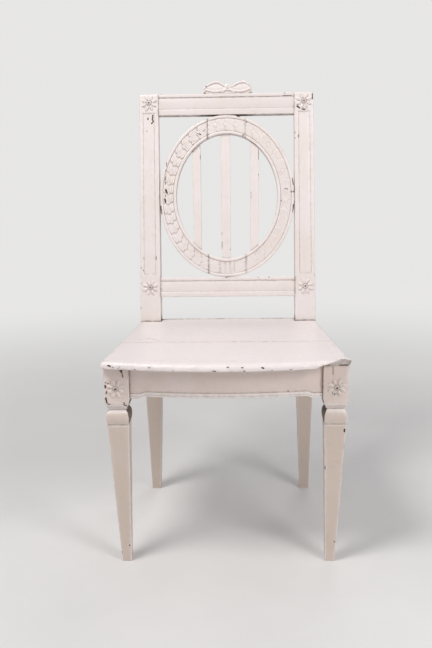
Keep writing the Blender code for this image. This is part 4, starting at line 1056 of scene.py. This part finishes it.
def paint(name, tint=(1.0, 1.0, 1.0), yellow=0.5, dirty_and_shaded=1.0, worn=1.0, cracked=0.5, gloss=0.34, low=0.0,
          below=(0.46, 0.34), relief=0.0004):
    """Old oil paint over dark wood. It reads the masks edge, cavity, bare, touch and clean from the mesh."""
    g = Graph(bpy.data.materials.new(name))
    place, grain = g.place(), g.attribute("grain", "Vector")
    edge, cavity = g.attribute("edge"), g.attribute("cavity")
    bare, touch = g.attribute("bare"), g.attribute("touch")
    cloud = g.noise(place, 11.0, 4.0, 0.6)
    fine = g.noise(place, 420.0, 3.0, 0.6)
    medium = g.noise(place, 95.0, 3.0, 0.6, 0.3)
    brush = g.noise(g.stretch(grain, (0.07, 1.0, 1.0)), 620.0, 2.0, 0.5)
    broad = g.noise(g.stretch(grain, (0.10, 1.0, 1.0)), 240.0, 2.0, 0.5)
    bright = tuple(c * t for c, t in zip(PAINT, tint))
    aged = tuple(c * t for c, t in zip(PAINT_AGED, tint))
    grey = tuple(c * t for c, t in zip(PAINT_GREY, tint))
    colour = g.mix(g.step(cloud, 0.35, 0.72, 0.0, yellow), bright, aged)
    colour = g.mix(g.step(medium, 0.48, 0.75, 0.0, 0.25), colour, grey)
    colour = g.mix(g.step(broad, 0.52, 0.8, 0.0, 0.22), colour, aged)
    # Darker and browner low down: dust, and painted shade under the seat
    if low:
        height = g.node("SeparateXYZ", {0: place}, "Z")
        colour = g.mix(g.step(height, *below, 0.0, low), colour, PAINT_DUST_AND_SHADE)
    # Edges are lightened: a painted highlight along them
    colour = g.mix(g.times(edge, 0.6), colour, tuple(min(1.0, c * 1.07) for c in PAINT))
    # The paint is lightened where the mesh marks it: a painted highlight on faces that catch the light
    colour = g.mix(g.times(g.attribute("bright"), 0.85), colour, PAINT_HIGHLIGHT)
    rub = g.times(edge, g.step(medium, 0.42, 0.62))
    colour = g.mix(g.times(rub, 0.30 * worn), colour, UNDERCOAT)
    # Hollows and places near other pieces are darkened: real dirt, and painted shade where shade falls
    hollow = g.times(cavity, g.step(medium, 0.25, 0.65, 0.4, 1.0))
    near = g.times(g.math("POWER", touch, 2.2), g.step(medium, 0.3, 0.7, 0.35, 1.0))
    grime = g.step(g.noise(place, 38.0, 4.0, 0.7), 0.62, 0.8, 0.0, 0.14)
    dirt_and_shade = g.plus(g.plus(g.times(hollow, 0.44), g.times(near, 0.8)), grime)
    dirt_and_shade = g.math("MINIMUM", g.times(dirt_and_shade, dirty_and_shaded), 0.92)
    colour = g.mix(dirt_and_shade, colour, DIRT_AND_SHADE)
    # Darkest where pieces meet: painted shade in the joints, with dirt
    colour = g.mix(g.step(near, 0.5, 1.0, 0.0, 0.85), colour, JOINT_SHADE_AND_DIRT)
    crack = g.step(g.cells(g.stretch(grain, (0.45, 1.0, 1.0)), 120.0), 0.022, 0.0)
    zone = g.step(g.noise(place, 26.0, 2.0, 0.5), 0.56, 0.70)
    crack = g.times(g.times(crack, zone), cracked)
    colour = g.mix(g.times(crack, 0.3), colour, DIRT_AND_SHADE)
    craze = g.step(g.cells(g.stretch(grain, (0.7, 1.0, 1.0)), 330.0), 0.05, 0.0)
    craze = g.times(craze, g.step(g.noise(place, 31.0, 3.0, 0.6), 0.54, 0.66))
    craze = g.times(craze, g.step(medium, 0.40, 0.6, 0.1, cracked))
    colour = g.mix(g.times(craze, 0.5), colour, DIRT_AND_SHADE)
    speck = g.times(g.step(g.noise(place, 300.0, 4.0, 0.65), 0.70, 0.76), g.step(cloud, 0.42, 0.6))
    colour = g.mix(g.times(speck, 0.6), colour, DIRT_AND_SHADE)
    tiny = g.noise(place, 1300.0, 3.0, 0.7)
    ragged = g.plus(g.times(fine, 0.45), g.times(tiny, 0.55))
    raw = g.times(g.math("SUBTRACT", ragged, 0.5), g.step(bare, 0.02, 0.35, 0.0, 1.5))
    raw = g.plus(raw, bare)
    knocked = g.times(g.step(edge, 0.3, 0.9), g.step(medium, 0.64, 0.80, 0.0, 0.7 * worn))
    raw = g.math("MAXIMUM", raw, knocked)
    rim = g.step(raw, 0.30, 0.46)
    chipped = g.step(raw, 0.47, 0.56)
    fibre = g.noise(g.stretch(grain, (0.05, 1.0, 1.0)), 1400.0, 3.0)
    wood = g.mix(g.step(fibre, 0.35, 0.65), WOOD_DARK, WOOD_LIGHT)
    colour = g.mix(g.times(rim, 0.6), colour, UNDERCOAT)
    colour = g.mix(chipped, colour, wood)
    g.link(colour, g.shader.inputs["Base Color"])
    rough = g.step(medium, 0.3, 0.75, gloss - 0.06, gloss + 0.12)
    rough = g.plus(rough, g.times(dirt_and_shade, 0.3))
    rough = g.plus(rough, g.times(chipped, 0.3))
    g.link(g.math("MINIMUM", rough, 0.95), g.shader.inputs["Roughness"])
    height = g.times(brush, 0.16)
    height = g.plus(height, g.times(broad, 0.3))
    height = g.plus(height, g.times(fine, 0.06))
    height = g.math("SUBTRACT", height, g.times(rim, 0.35))
    height = g.math("SUBTRACT", height, g.times(chipped, 0.8))
    height = g.math("SUBTRACT", height, g.times(g.math("MAXIMUM", crack, craze), 0.5))
    g.link(g.bump(height, relief), g.shader.inputs["Normal"])
    return g.data


def raw_wood(name):
    """Unpainted brown wood of the hidden blocks and dowels."""
    g = Graph(bpy.data.materials.new(name))
    place = g.place()
    ring = g.noise(g.stretch(place, (14.0, 14.0, 160.0)), 1.0, 4.0, 0.6, 0.6)
    fibre = g.noise(g.stretch(place, (60.0, 60.0, 1800.0)), 1.0, 3.0, 0.6)
    colour = g.mix(g.step(ring, 0.3, 0.7), (0.20, 0.125, 0.070), (0.34, 0.23, 0.14))
    colour = g.mix(g.step(fibre, 0.5, 0.8, 0.0, 0.5), colour, (0.10, 0.06, 0.035))
    colour = g.mix(g.step(g.noise(place, 45.0, 4.0), 0.55, 0.75, 0.0, 0.4), colour, (0.13, 0.10, 0.08))
    g.link(colour, g.shader.inputs["Base Color"])
    g.link(g.step(fibre, 0.3, 0.8, 0.62, 0.85), g.shader.inputs["Roughness"])
    g.link(g.bump(g.plus(g.times(fibre, 0.6), g.times(ring, 0.4)), 0.0004),
           g.shader.inputs["Normal"])
    return g.data


# Wear seen on this chair

# On the raked face of the back: the points of a line, its width and its depth, all in mm, across and up
BACK_CHIPS = {
    "rear_post_left": (
        (((-177.2, 462), (-177.6, 458)), 1.5, 0.8),
        (((-165.8, 467.5), (-167.2, 459), (-165.4, 453)), 1.7, 1.1),
        (((-166.5, 452), (-169, 449)), 1.6, 0.8), (((-181.1, 432.3),), 1.2, 0.5)),
    "rear_post_right": (
        (((160, 483.1), (165.5, 479)), 2.2, 0.8), (((172, 476), (177.4, 475.7)), 1.8, 0.7),
        (((194.6, 509.3), (194.8, 498.9)), 1.8, 0.8)),
    "medallion_left": (
        (((-136, 362), (-136.4, 352)), 0.7, 0.8),
        (((-136.7, 343.9), (-139.2, 325.9), (-140.2, 312)), 1, 1),
        (((-138.9, 299), (-137.6, 292)), 2.8, 1.5), (((-139.6, 288), (-141, 283)), 0.9, 0.8),
        (((-141.6, 278.5), (-140.2, 272.5)), 2.4, 1.4),
        (((-70, 429.5), (-68.6, 425.8), (-61.8, 423.9)), 0.8, 0.7),
        (((-60.5, 424.2), (-58.6, 423.4)), 1.5, 0.9), (((-52, 429.8), (-48.1, 434)), 0.7, 0.6),
        (((-150.9, 262), (-151.6, 244.6)), 1.8, 0.8)),
    "medallion_right": (
        (((151.4, 322), (151.8, 308)), 1.7, 0.8), (((151.8, 262), (151.2, 246)), 1.9, 0.8)),
    "crest_bow": ((((-48.1, 533.2), (-47, 532)), 3, 1.6),),
}

# On the front of the leg blocks, in the same way
BLOCK_CHIPS = {
    "left": (
        (((-201.6, 417), (-201.2, 411), (-200.4, 405)), 1.7, 1.4),
        (((-200.2, 406), (-199, 400.5), (-197.9, 396)), 1.1, 1),
        (((-197.1, 369.6), (-198, 345.4)), 0.6, 0.5), (((-232.2, 353), (-231, 344)), 1.9, 0.9),
        (((-233, 393), (-232.6, 389)), 1.2, 0.6), (((-232.4, 386), (-231.4, 383.4)), 1, 0.5),
        (((-231, 366), (-231.8, 362.4)), 1.3, 0.6), (((-230.6, 359.4), (-229.6, 358)), 1, 0.5),
        (((-229, 341.6), (-227, 340.4)), 1.2, 0.6), (((-199.6, 352.6), (-197.4, 349.6)), 1.1, 0.5),
        (((-198, 344), (-197, 341)), 1.3, 0.6), (((-228.4, 383.2), (-226.8, 380.8)), 0.7, 0.5),
        (((-232.6, 378), (-232.8, 374)), 2, 0.7), (((-196.8, 337.2), (-193, 335.4)), 1.8, 0.7),
        (((-187.4, 339.2),), 1.6, 0.6), (((-195, 36),), 2.2, 0.6)),
    "right": (
        (((204.6, 417), (205, 404), (204.6, 393.2)), 0.7, 0.8),
        (((194.8, 416.4), (197.8, 416.3)), 1.6, 0.9),
        (((217.6, 417), (223.4, 416.7), (229.8, 417)), 1, 0.7),
        (((229.6, 286), (229.4, 282)), 2.2, 0.8), (((215, 43),), 1.8, 0.5)),
}
# On the front edge of the seat: the points of a line and its width in mm, and how bare it is
SEAT_CHIPS = (
    (((3.7, 427.7), (5.4, 427.2)), 1.2, 1), (((31, 426.3), (33.2, 425.7)), 1.5, 1),
    (((68.6, 425.1), (71, 424.2), (71.8, 423.4)), 1.9, 1), (((-22.6, 419.6), (-17.2, 418.9)), 1.3, 1),
    (((34, 419.6), (37.2, 418.9)), 1.2, 1), (((-143.6, 423.7), (-141, 424.2)), 1.3, 0.75),
    (((-222.6, 424.8), (-220.4, 424.6), (-218, 423.2)), 1.8, 1),
    (((-213.8, 421.6), (-211, 420.9)), 1, 0.7), (((-203, 420.4), (-200.6, 420)), 1, 0.55),
    (((-171, 419.6), (-167.8, 419.4)), 1, 0.6), (((-99, 419.9), (-96.6, 419.5)), 0.9, 0.6),
    (((86, 419.5), (89, 419.2)), 1, 0.6), (((121, 419.5), (124.4, 419.8)), 0.9, 0.55))
# Along a crack in the top of the rear board, in mm: across and behind the front legs' axis
SEAT_CRACK = ((-182, 134), (-166, 146), (-138, 119))
# Beside the broken corner of the seat, in metres: line, width, depth, how bare it is, and seed
CORNER_CHIPS = (
    (((0.1885, -0.050, 0.4215), (0.1925, -0.050, 0.422)), 2.0 * MM, 0.7 * MM, 1.0, 83),
    (((0.2165, -0.0395, 0.4305), (0.2205, -0.0352, 0.4305)), 1.0 * MM, 0.4 * MM, 0.55, 85))


# The chair

def on_back(points):
    return to_back([(u * MM, 0.0, w * MM) for u, w in points])


def on_block(points):
    return to_chair([(x * MM, -LEG_HALF, z * MM) for x, z in points])


def chips(obj, marks, place, seed):
    """Chips from a table of lines, with their widths and depths in mm."""
    for k, (line, width, depth) in enumerate(marks):
        chip(obj, place(line), width * MM, depth * MM, 1.0, seed + k)


def spots_of(obj):
    """Places of the vertices in the frame whose Y starts at the front legs' axis."""
    return coordinates(obj.data) + np.array([0, MIDDLE_Y, 0])


def finished(obj, material, nodes, **looks):
    """A piece of the chair: aged, painted and in the place of its nodes."""
    age(obj, "painted_wood", **looks)
    touching(obj, nodes)
    obj.data.materials.clear()
    obj.data.materials.append(material)
    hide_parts(*nodes)


PAINT_BACK = paint("paint_back", worn=0.55, cracked=0.35)
PAINT_CREST = paint("paint_crest", tint=(0.93, 0.93, 0.93), worn=0.55, cracked=0.35)
# The posts darken below the seat: dust, and painted shade
PAINT_POSTS = paint("paint_posts", worn=0.6, cracked=0.4, low=0.85)
# The left ring's hollows are darkened more: painted shade under the leaf tips, with dirt
PAINT_RING = paint("paint_ring", worn=0.5, dirty_and_shaded=1.6, cracked=0.3)
PAINT_BOW = paint("paint_bow", worn=0.15, dirty_and_shaded=0.45, cracked=0.2)
# The apron's and legs' paint is darker and warmer than the back's: dirt and yellowing, and painted shade
# under the seat
PAINT_APRON = paint("paint_apron", tint=(0.97, 0.92, 0.89), yellow=0.6, dirty_and_shaded=1.1, cracked=0.5)
PAINT_LEGS = paint("paint_legs", tint=(0.95, 0.89, 0.85), yellow=0.65, dirty_and_shaded=1.15, worn=1.3, cracked=0.7,
                   low=0.65, below=(0.338, 0.30))
# The seat's paint is made lighter than the rest: painted light from above
PAINT_SEAT = paint("paint_seat", tint=(1.03, 1.04, 1.05), yellow=0.25, dirty_and_shaded=0.8, cracked=0.25, gloss=0.36,
                   relief=0.00025)
RAW_WOOD = raw_wood("raw_wood")

# Heads of the pegs on the right side, each with its place and the way it faces
PEG_ACROSS = 0.164
POST_PEGS = (((0.1986, 0.3176, 0.3764), (1, 0, 0)), ((PEG_ACROSS, 0.3431, 0.3994), (0, 1, 0)))
LEG_PEGS = (((0.1975, 0.0245, 0.3976), (0, 1, 0)), ((0.187, 0.014, 0.3764), (-1, 0, 0)))


def peg_heads(side, pegs, place):
    return [peg_head((side * x, y, z), (side * u, v, w), place) for (x, y, z), (u, v, w) in pegs]


for word, side in SIDES.items():
    post = rear_post(word, side)
    back_pegs = [((PEG_ACROSS, post_depth(up), up), (0, 1, 0))
                 for up in (sum(CREST) / 2, sum(LOWER_RAIL) / 2)]
    post = join(f"rear_post_{word}_worn",
                post + peg_heads(side, back_pegs, to_back) + peg_heads(side, POST_PEGS, to_chair))
    chips(post, BACK_CHIPS[f"rear_post_{word}"], on_back, 3)
    level = coordinates(post.data)[:, 2] - SEAT_HEIGHT
    over_seat = level > -2 * MM
    inward = smooth(0.2, 0.7, -side * normals(post.data)[:, 0])
    # Darker where the post meets the seat, most on its inner side: painted shade in the joint, with dirt
    touched(post, smooth(3.5 * MM, 0.8 * MM, level) * over_seat * 1.1,
            inward * smooth(22 * MM, 4 * MM, level) * over_seat * 1.1)
    finished(post, PAINT_POSTS, [f"rear_post_{word}"] + [
        f"peg_{rail}_{word}" for rail in ("crest_rail", "lower_back_rail", "side_rail_rear", "rear_rail")],
        seed=2 + side)
    leg = join(f"front_leg_{word}_worn", front_leg(word, side) + peg_heads(side, LEG_PEGS, to_chair))
    inward = smooth(0.15, 0.5, -side * normals(leg.data)[:, 0])
    level = coordinates(leg.data)[:, 2]
    turned = np.sort(np.abs(normals(leg.data)), axis=1)[:, 1]
    # Lighter on the rounded corners of the legs below the blocks: a painted highlight
    store(leg.data, "bright", smooth(0.25, 0.6, turned) * smooth(0.40, 0.35, level) * 0.9)
    # Darker on the inner side of the neck under the block, and along the block's top under the seat: painted
    # shade, with dirt
    neck = 1.6 * inward * smooth(0.290, 0.310, level) * smooth(0.352, 0.344, level)
    patchy = 0.75 + 0.25 * noise(coordinates(leg.data), 5 * MM, 27)
    touched(leg, neck, smooth(0.4135, 0.4165, level) * patchy * (0.9 if side > 0 else 0.8))
    chips(leg, BLOCK_CHIPS[word], on_block, 23)
    finished(leg, PAINT_LEGS, [f"front_leg_{word}", f"peg_front_rail_{word}", f"peg_side_rail_front_{word}"],
             wear=1.3, seed=5 + side)
    finished(side_rail(word, side), PAINT_LEGS, [f"side_rail_{word}"], seed=8 + side)

crest = back_rail("crest_rail_worn", *CREST, CREST_BAND)
# The crest rail's downward faces are darkened, most near the ring: painted shade under the rail, with dirt
facing = normals(crest.data) @ np.array([0.0, math.sin(BACK_RAKE), math.cos(BACK_RAKE)])
near_ring = smooth(0.075, 0.03, np.abs(coordinates(crest.data)[:, 0]))
touched(crest, smooth(-0.3, -0.8, facing) * (0.85 + 0.5 * near_ring))
finished(crest, PAINT_CREST, ["crest_rail"], seed=11)
lower_rail = back_rail("lower_back_rail_worn", *LOWER_RAIL, LOWER_BAND)
finished(lower_rail, PAINT_BACK, ["lower_back_rail"], seed=12)
apron = front_rail()
spots, upward = spots_of(apron), normals(apron.data)[:, 2]
beyond = front_rail_face(spots[:, 0]) - spots[:, 1]
# The bead of the apron is lightened, most on its upper faces: a painted highlight
store(apron.data, "bright", smooth(0.2 * MM, 1.6 * MM, beyond) * (0.65 + 0.6 * smooth(0.1, 0.5, upward)))
# Darker towards the top of the apron, under the seat: painted shade, with dirt
touched(apron, smooth(RAIL_TOP - 16 * MM, RAIL_TOP, spots[:, 2]) * 0.42)
finished(apron, PAINT_APRON, ["front_rail"], seed=13)
finished(rear_seat_rail(), PAINT_LEGS, ["rear_seat_rail"], seed=14)

for word, ring in medallion().items():
    chips(ring, BACK_CHIPS.get(f"medallion_{word}", ()), on_back, 43)
    look = PAINT_RING if word == "left" else PAINT_BACK
    finished(ring, look, [f"medallion_{word}"], lumps=0.00008, seed=15)
    # The hollows of the carving are darkest towards its top: painted shade under the leaf tips, with dirt
    clear = 0.4 + 0.6 * smooth(0.59, 0.70, coordinates(ring.data)[:, 2])
    store(ring.data, "cavity", stored(ring.data, "cavity") * clear)
for word, bar in SPLATS.items():
    finished(splat(f"splat_{word}_worn", *bar), PAINT_BACK, [f"splat_{word}"], seed=16)

bow = join("crest_bow_worn", crest_bow())
chips(bow, BACK_CHIPS["crest_bow"], on_back, 63)
finished(bow, PAINT_BOW, ["crest_bow"], wear=0.1, lumps=0.0001, seed=17)

plank = seat_plank_front()
for k, (line, width, bare) in enumerate(SEAT_CHIPS):
    line = to_chair([(x * MM, seat_front(x * MM) + 0.5 * MM, z * MM) for x, z in line])
    chip(plank, line, width * MM, 0.7 * MM * bare, bare, 73 + k)
spots, facing = spots_of(plank), normals(plank.data)
# Darker on the downward faces of the broken corner and along the underside of the front edge: painted shade,
# with dirt
torn = smooth(0.2, -0.2, facing[:, 2]) * (spots[:, 0] > SPLIT_RISE[0][1]) * (spots[:, 1] < SPLIT_FOOT)
under = smooth(3.5 * MM, 0.8 * MM, spots[:, 2] - SEAT_HEIGHT + SEAT_THICKNESS)
ledge = under * smooth(0.35, 0.7, noise(spots, 6 * MM, 31))
ledge = ledge * smooth(6 * MM, 2 * MM, spots[:, 1] - seat_front(spots[:, 0]))
touched(plank, torn * smooth(0.17, 0.2, spots[:, 0]) * 0.82, ledge * 0.8)
for line, *looks in CORNER_CHIPS:
    chip(plank, to_chair(line), *looks)
finished(plank, PAINT_SEAT, ["seat_plank_front"], lumps=0.0002, seed=18)
plank = join("seat_plank_rear_worn", seat_plank_rear())
spots = spots_of(plank)
# Darker in the nooks by the posts, painted shade with dirt, and along the rear edge, a painted shadow line
out, behind = np.abs(spots[:, 0]) - POST_INNER, spots[:, 1] - FRAME_DEPTH
nook = np.maximum(smooth(-5 * MM, -0.5 * MM, out) * smooth(-9 * MM, -2 * MM, behind),
                  smooth(-2 * MM, 1 * MM, out) * smooth(-3.5 * MM, -1 * MM, behind))
rear_edge_shade = smooth(SEAT_REAR - 15 * MM, SEAT_REAR - 4 * MM, spots[:, 1])
touched(plank, nook * 1.4, rear_edge_shade * (0.75 + 0.5 * noise(spots, 30 * MM, 35)))
chip(plank, to_chair([(x * MM, y * MM, SEAT_HEIGHT) for x, y in SEAT_CRACK]), 0.9 * MM, 0.6 * MM, 0.7, 84)
finished(plank, PAINT_SEAT, ["seat_plank_rear"], lumps=0.0002, seed=19)

for name, node in frame["nodes"].items():
    if name.startswith(("corner_block", "dowel")):
        node.data.materials.clear()
        node.data.materials.append(RAW_WOOD)


# Studio

CAMERA_PLACE = (0.0327, -1.7653, 0.8539)
CAMERA_PITCH, CAMERA_YAW, CAMERA_ROLL = 0.222741, 0.031706, -0.014859
CAMERA_LENS = 47.254
CAMERA_SENSOR = 36.0
FLOOR_COLOUR = (0.80, 0.79, 0.78)
FLOOR_RADIUS = 14.0
BACKDROP = (0.80, 0.795, 0.79)
SKY = (0.98, 0.98, 1.0)
SKY_STRENGTH = 0.36
# Place, aim, size, power and colour
LAMPS = {
    "key": ((-0.9, -0.9, 2.5), (0.0, 0.0, 0.7), 0.8, 33.0, (1.0, 0.985, 0.97)),
    "fill": ((1.35, -1.6, 1.55), (0.0, 0.0, 0.6), 0.9, 18.5, (0.99, 0.985, 1.0)),
    "rear": ((0.4, 1.7, 2.4), (0.0, 0.0, 0.4), 1.2, 8.0, (1.0, 1.0, 1.0)),
}


def camera():
    data = bpy.data.cameras.new("camera")
    data.lens = CAMERA_LENS
    data.sensor_width = CAMERA_SENSOR
    made = added("camera", data)
    pitch = Matrix.Rotation(math.pi / 2 - CAMERA_PITCH, 4, "X")
    made.matrix_world = (Matrix.Translation(CAMERA_PLACE) @ Matrix.Rotation(CAMERA_YAW, 4, "Z")
                         @ pitch @ Matrix.Rotation(CAMERA_ROLL, 4, "Z"))
    bpy.context.scene.camera = made


def lamp(name, place, aim, size, power, colour):
    data = bpy.data.lights.new(name, "AREA")
    data.shape = "DISK"
    data.size = size
    data.energy = power
    data.color = colour
    made = added(name, data)
    way = Vector(aim) - Vector(place)
    made.matrix_world = Matrix.Translation(place) @ way.to_track_quat("-Z", "Y").to_matrix().to_4x4()


def floor():
    g = Graph(bpy.data.materials.new("floor"))
    cloud = g.noise(g.place(), 2.2, 4.0, 0.55)
    fine = g.noise(g.place(), 60.0, 3.0, 0.6)
    dim = tuple(c * 0.95 for c in FLOOR_COLOUR)
    g.link(g.mix(g.step(cloud, 0.35, 0.7), FLOOR_COLOUR, dim), g.shader.inputs["Base Color"])
    g.link(g.step(fine, 0.3, 0.7, 0.6, 0.75), g.shader.inputs["Roughness"])
    g.link(g.bump(fine, 0.0002), g.shader.inputs["Normal"])
    # Far from the chair the camera sees the floor pass into the backdrop
    far = g.node("VectorMath", {0: g.place()}, "Value", operation="LENGTH")
    seen = g.times(g.step(far, 0.5, 2.6), g.node("LightPath", {}, "Is Camera Ray"))
    plain = g.node("Emission", {"Color": BACKDROP})
    blend = g.node("MixShader", {"Fac": seen, 1: g.shader.outputs[0], 2: plain})
    g.link(blend, g.tree.nodes["Material Output"].inputs["Surface"])
    mesh = bpy.data.meshes.new("floor")
    bm = bmesh.new()
    bmesh.ops.create_circle(bm, cap_ends=True, radius=FLOOR_RADIUS, segments=96)
    bm.to_mesh(mesh)
    bm.free()
    mesh.materials.append(g.data)
    made = added("floor", mesh)


def world():
    g = Graph(bpy.data.worlds.new("world"))
    sky = g.tree.nodes["Background"]
    g.link(SKY, sky.inputs["Color"])
    g.link(SKY_STRENGTH, sky.inputs["Strength"])
    seen = g.node("LightPath", {}, "Is Camera Ray")
    plain = g.node("Background", {"Color": BACKDROP})
    blend = g.node("MixShader", {"Fac": seen, 1: sky.outputs[0], 2: plain})
    g.link(blend, g.tree.nodes["World Output"].inputs["Surface"])
    bpy.context.scene.world = g.data


camera()
floor()
world()
for name, light in LAMPS.items():
    lamp(name, *light)
bpy.context.scene.view_settings.view_transform = "Standard"
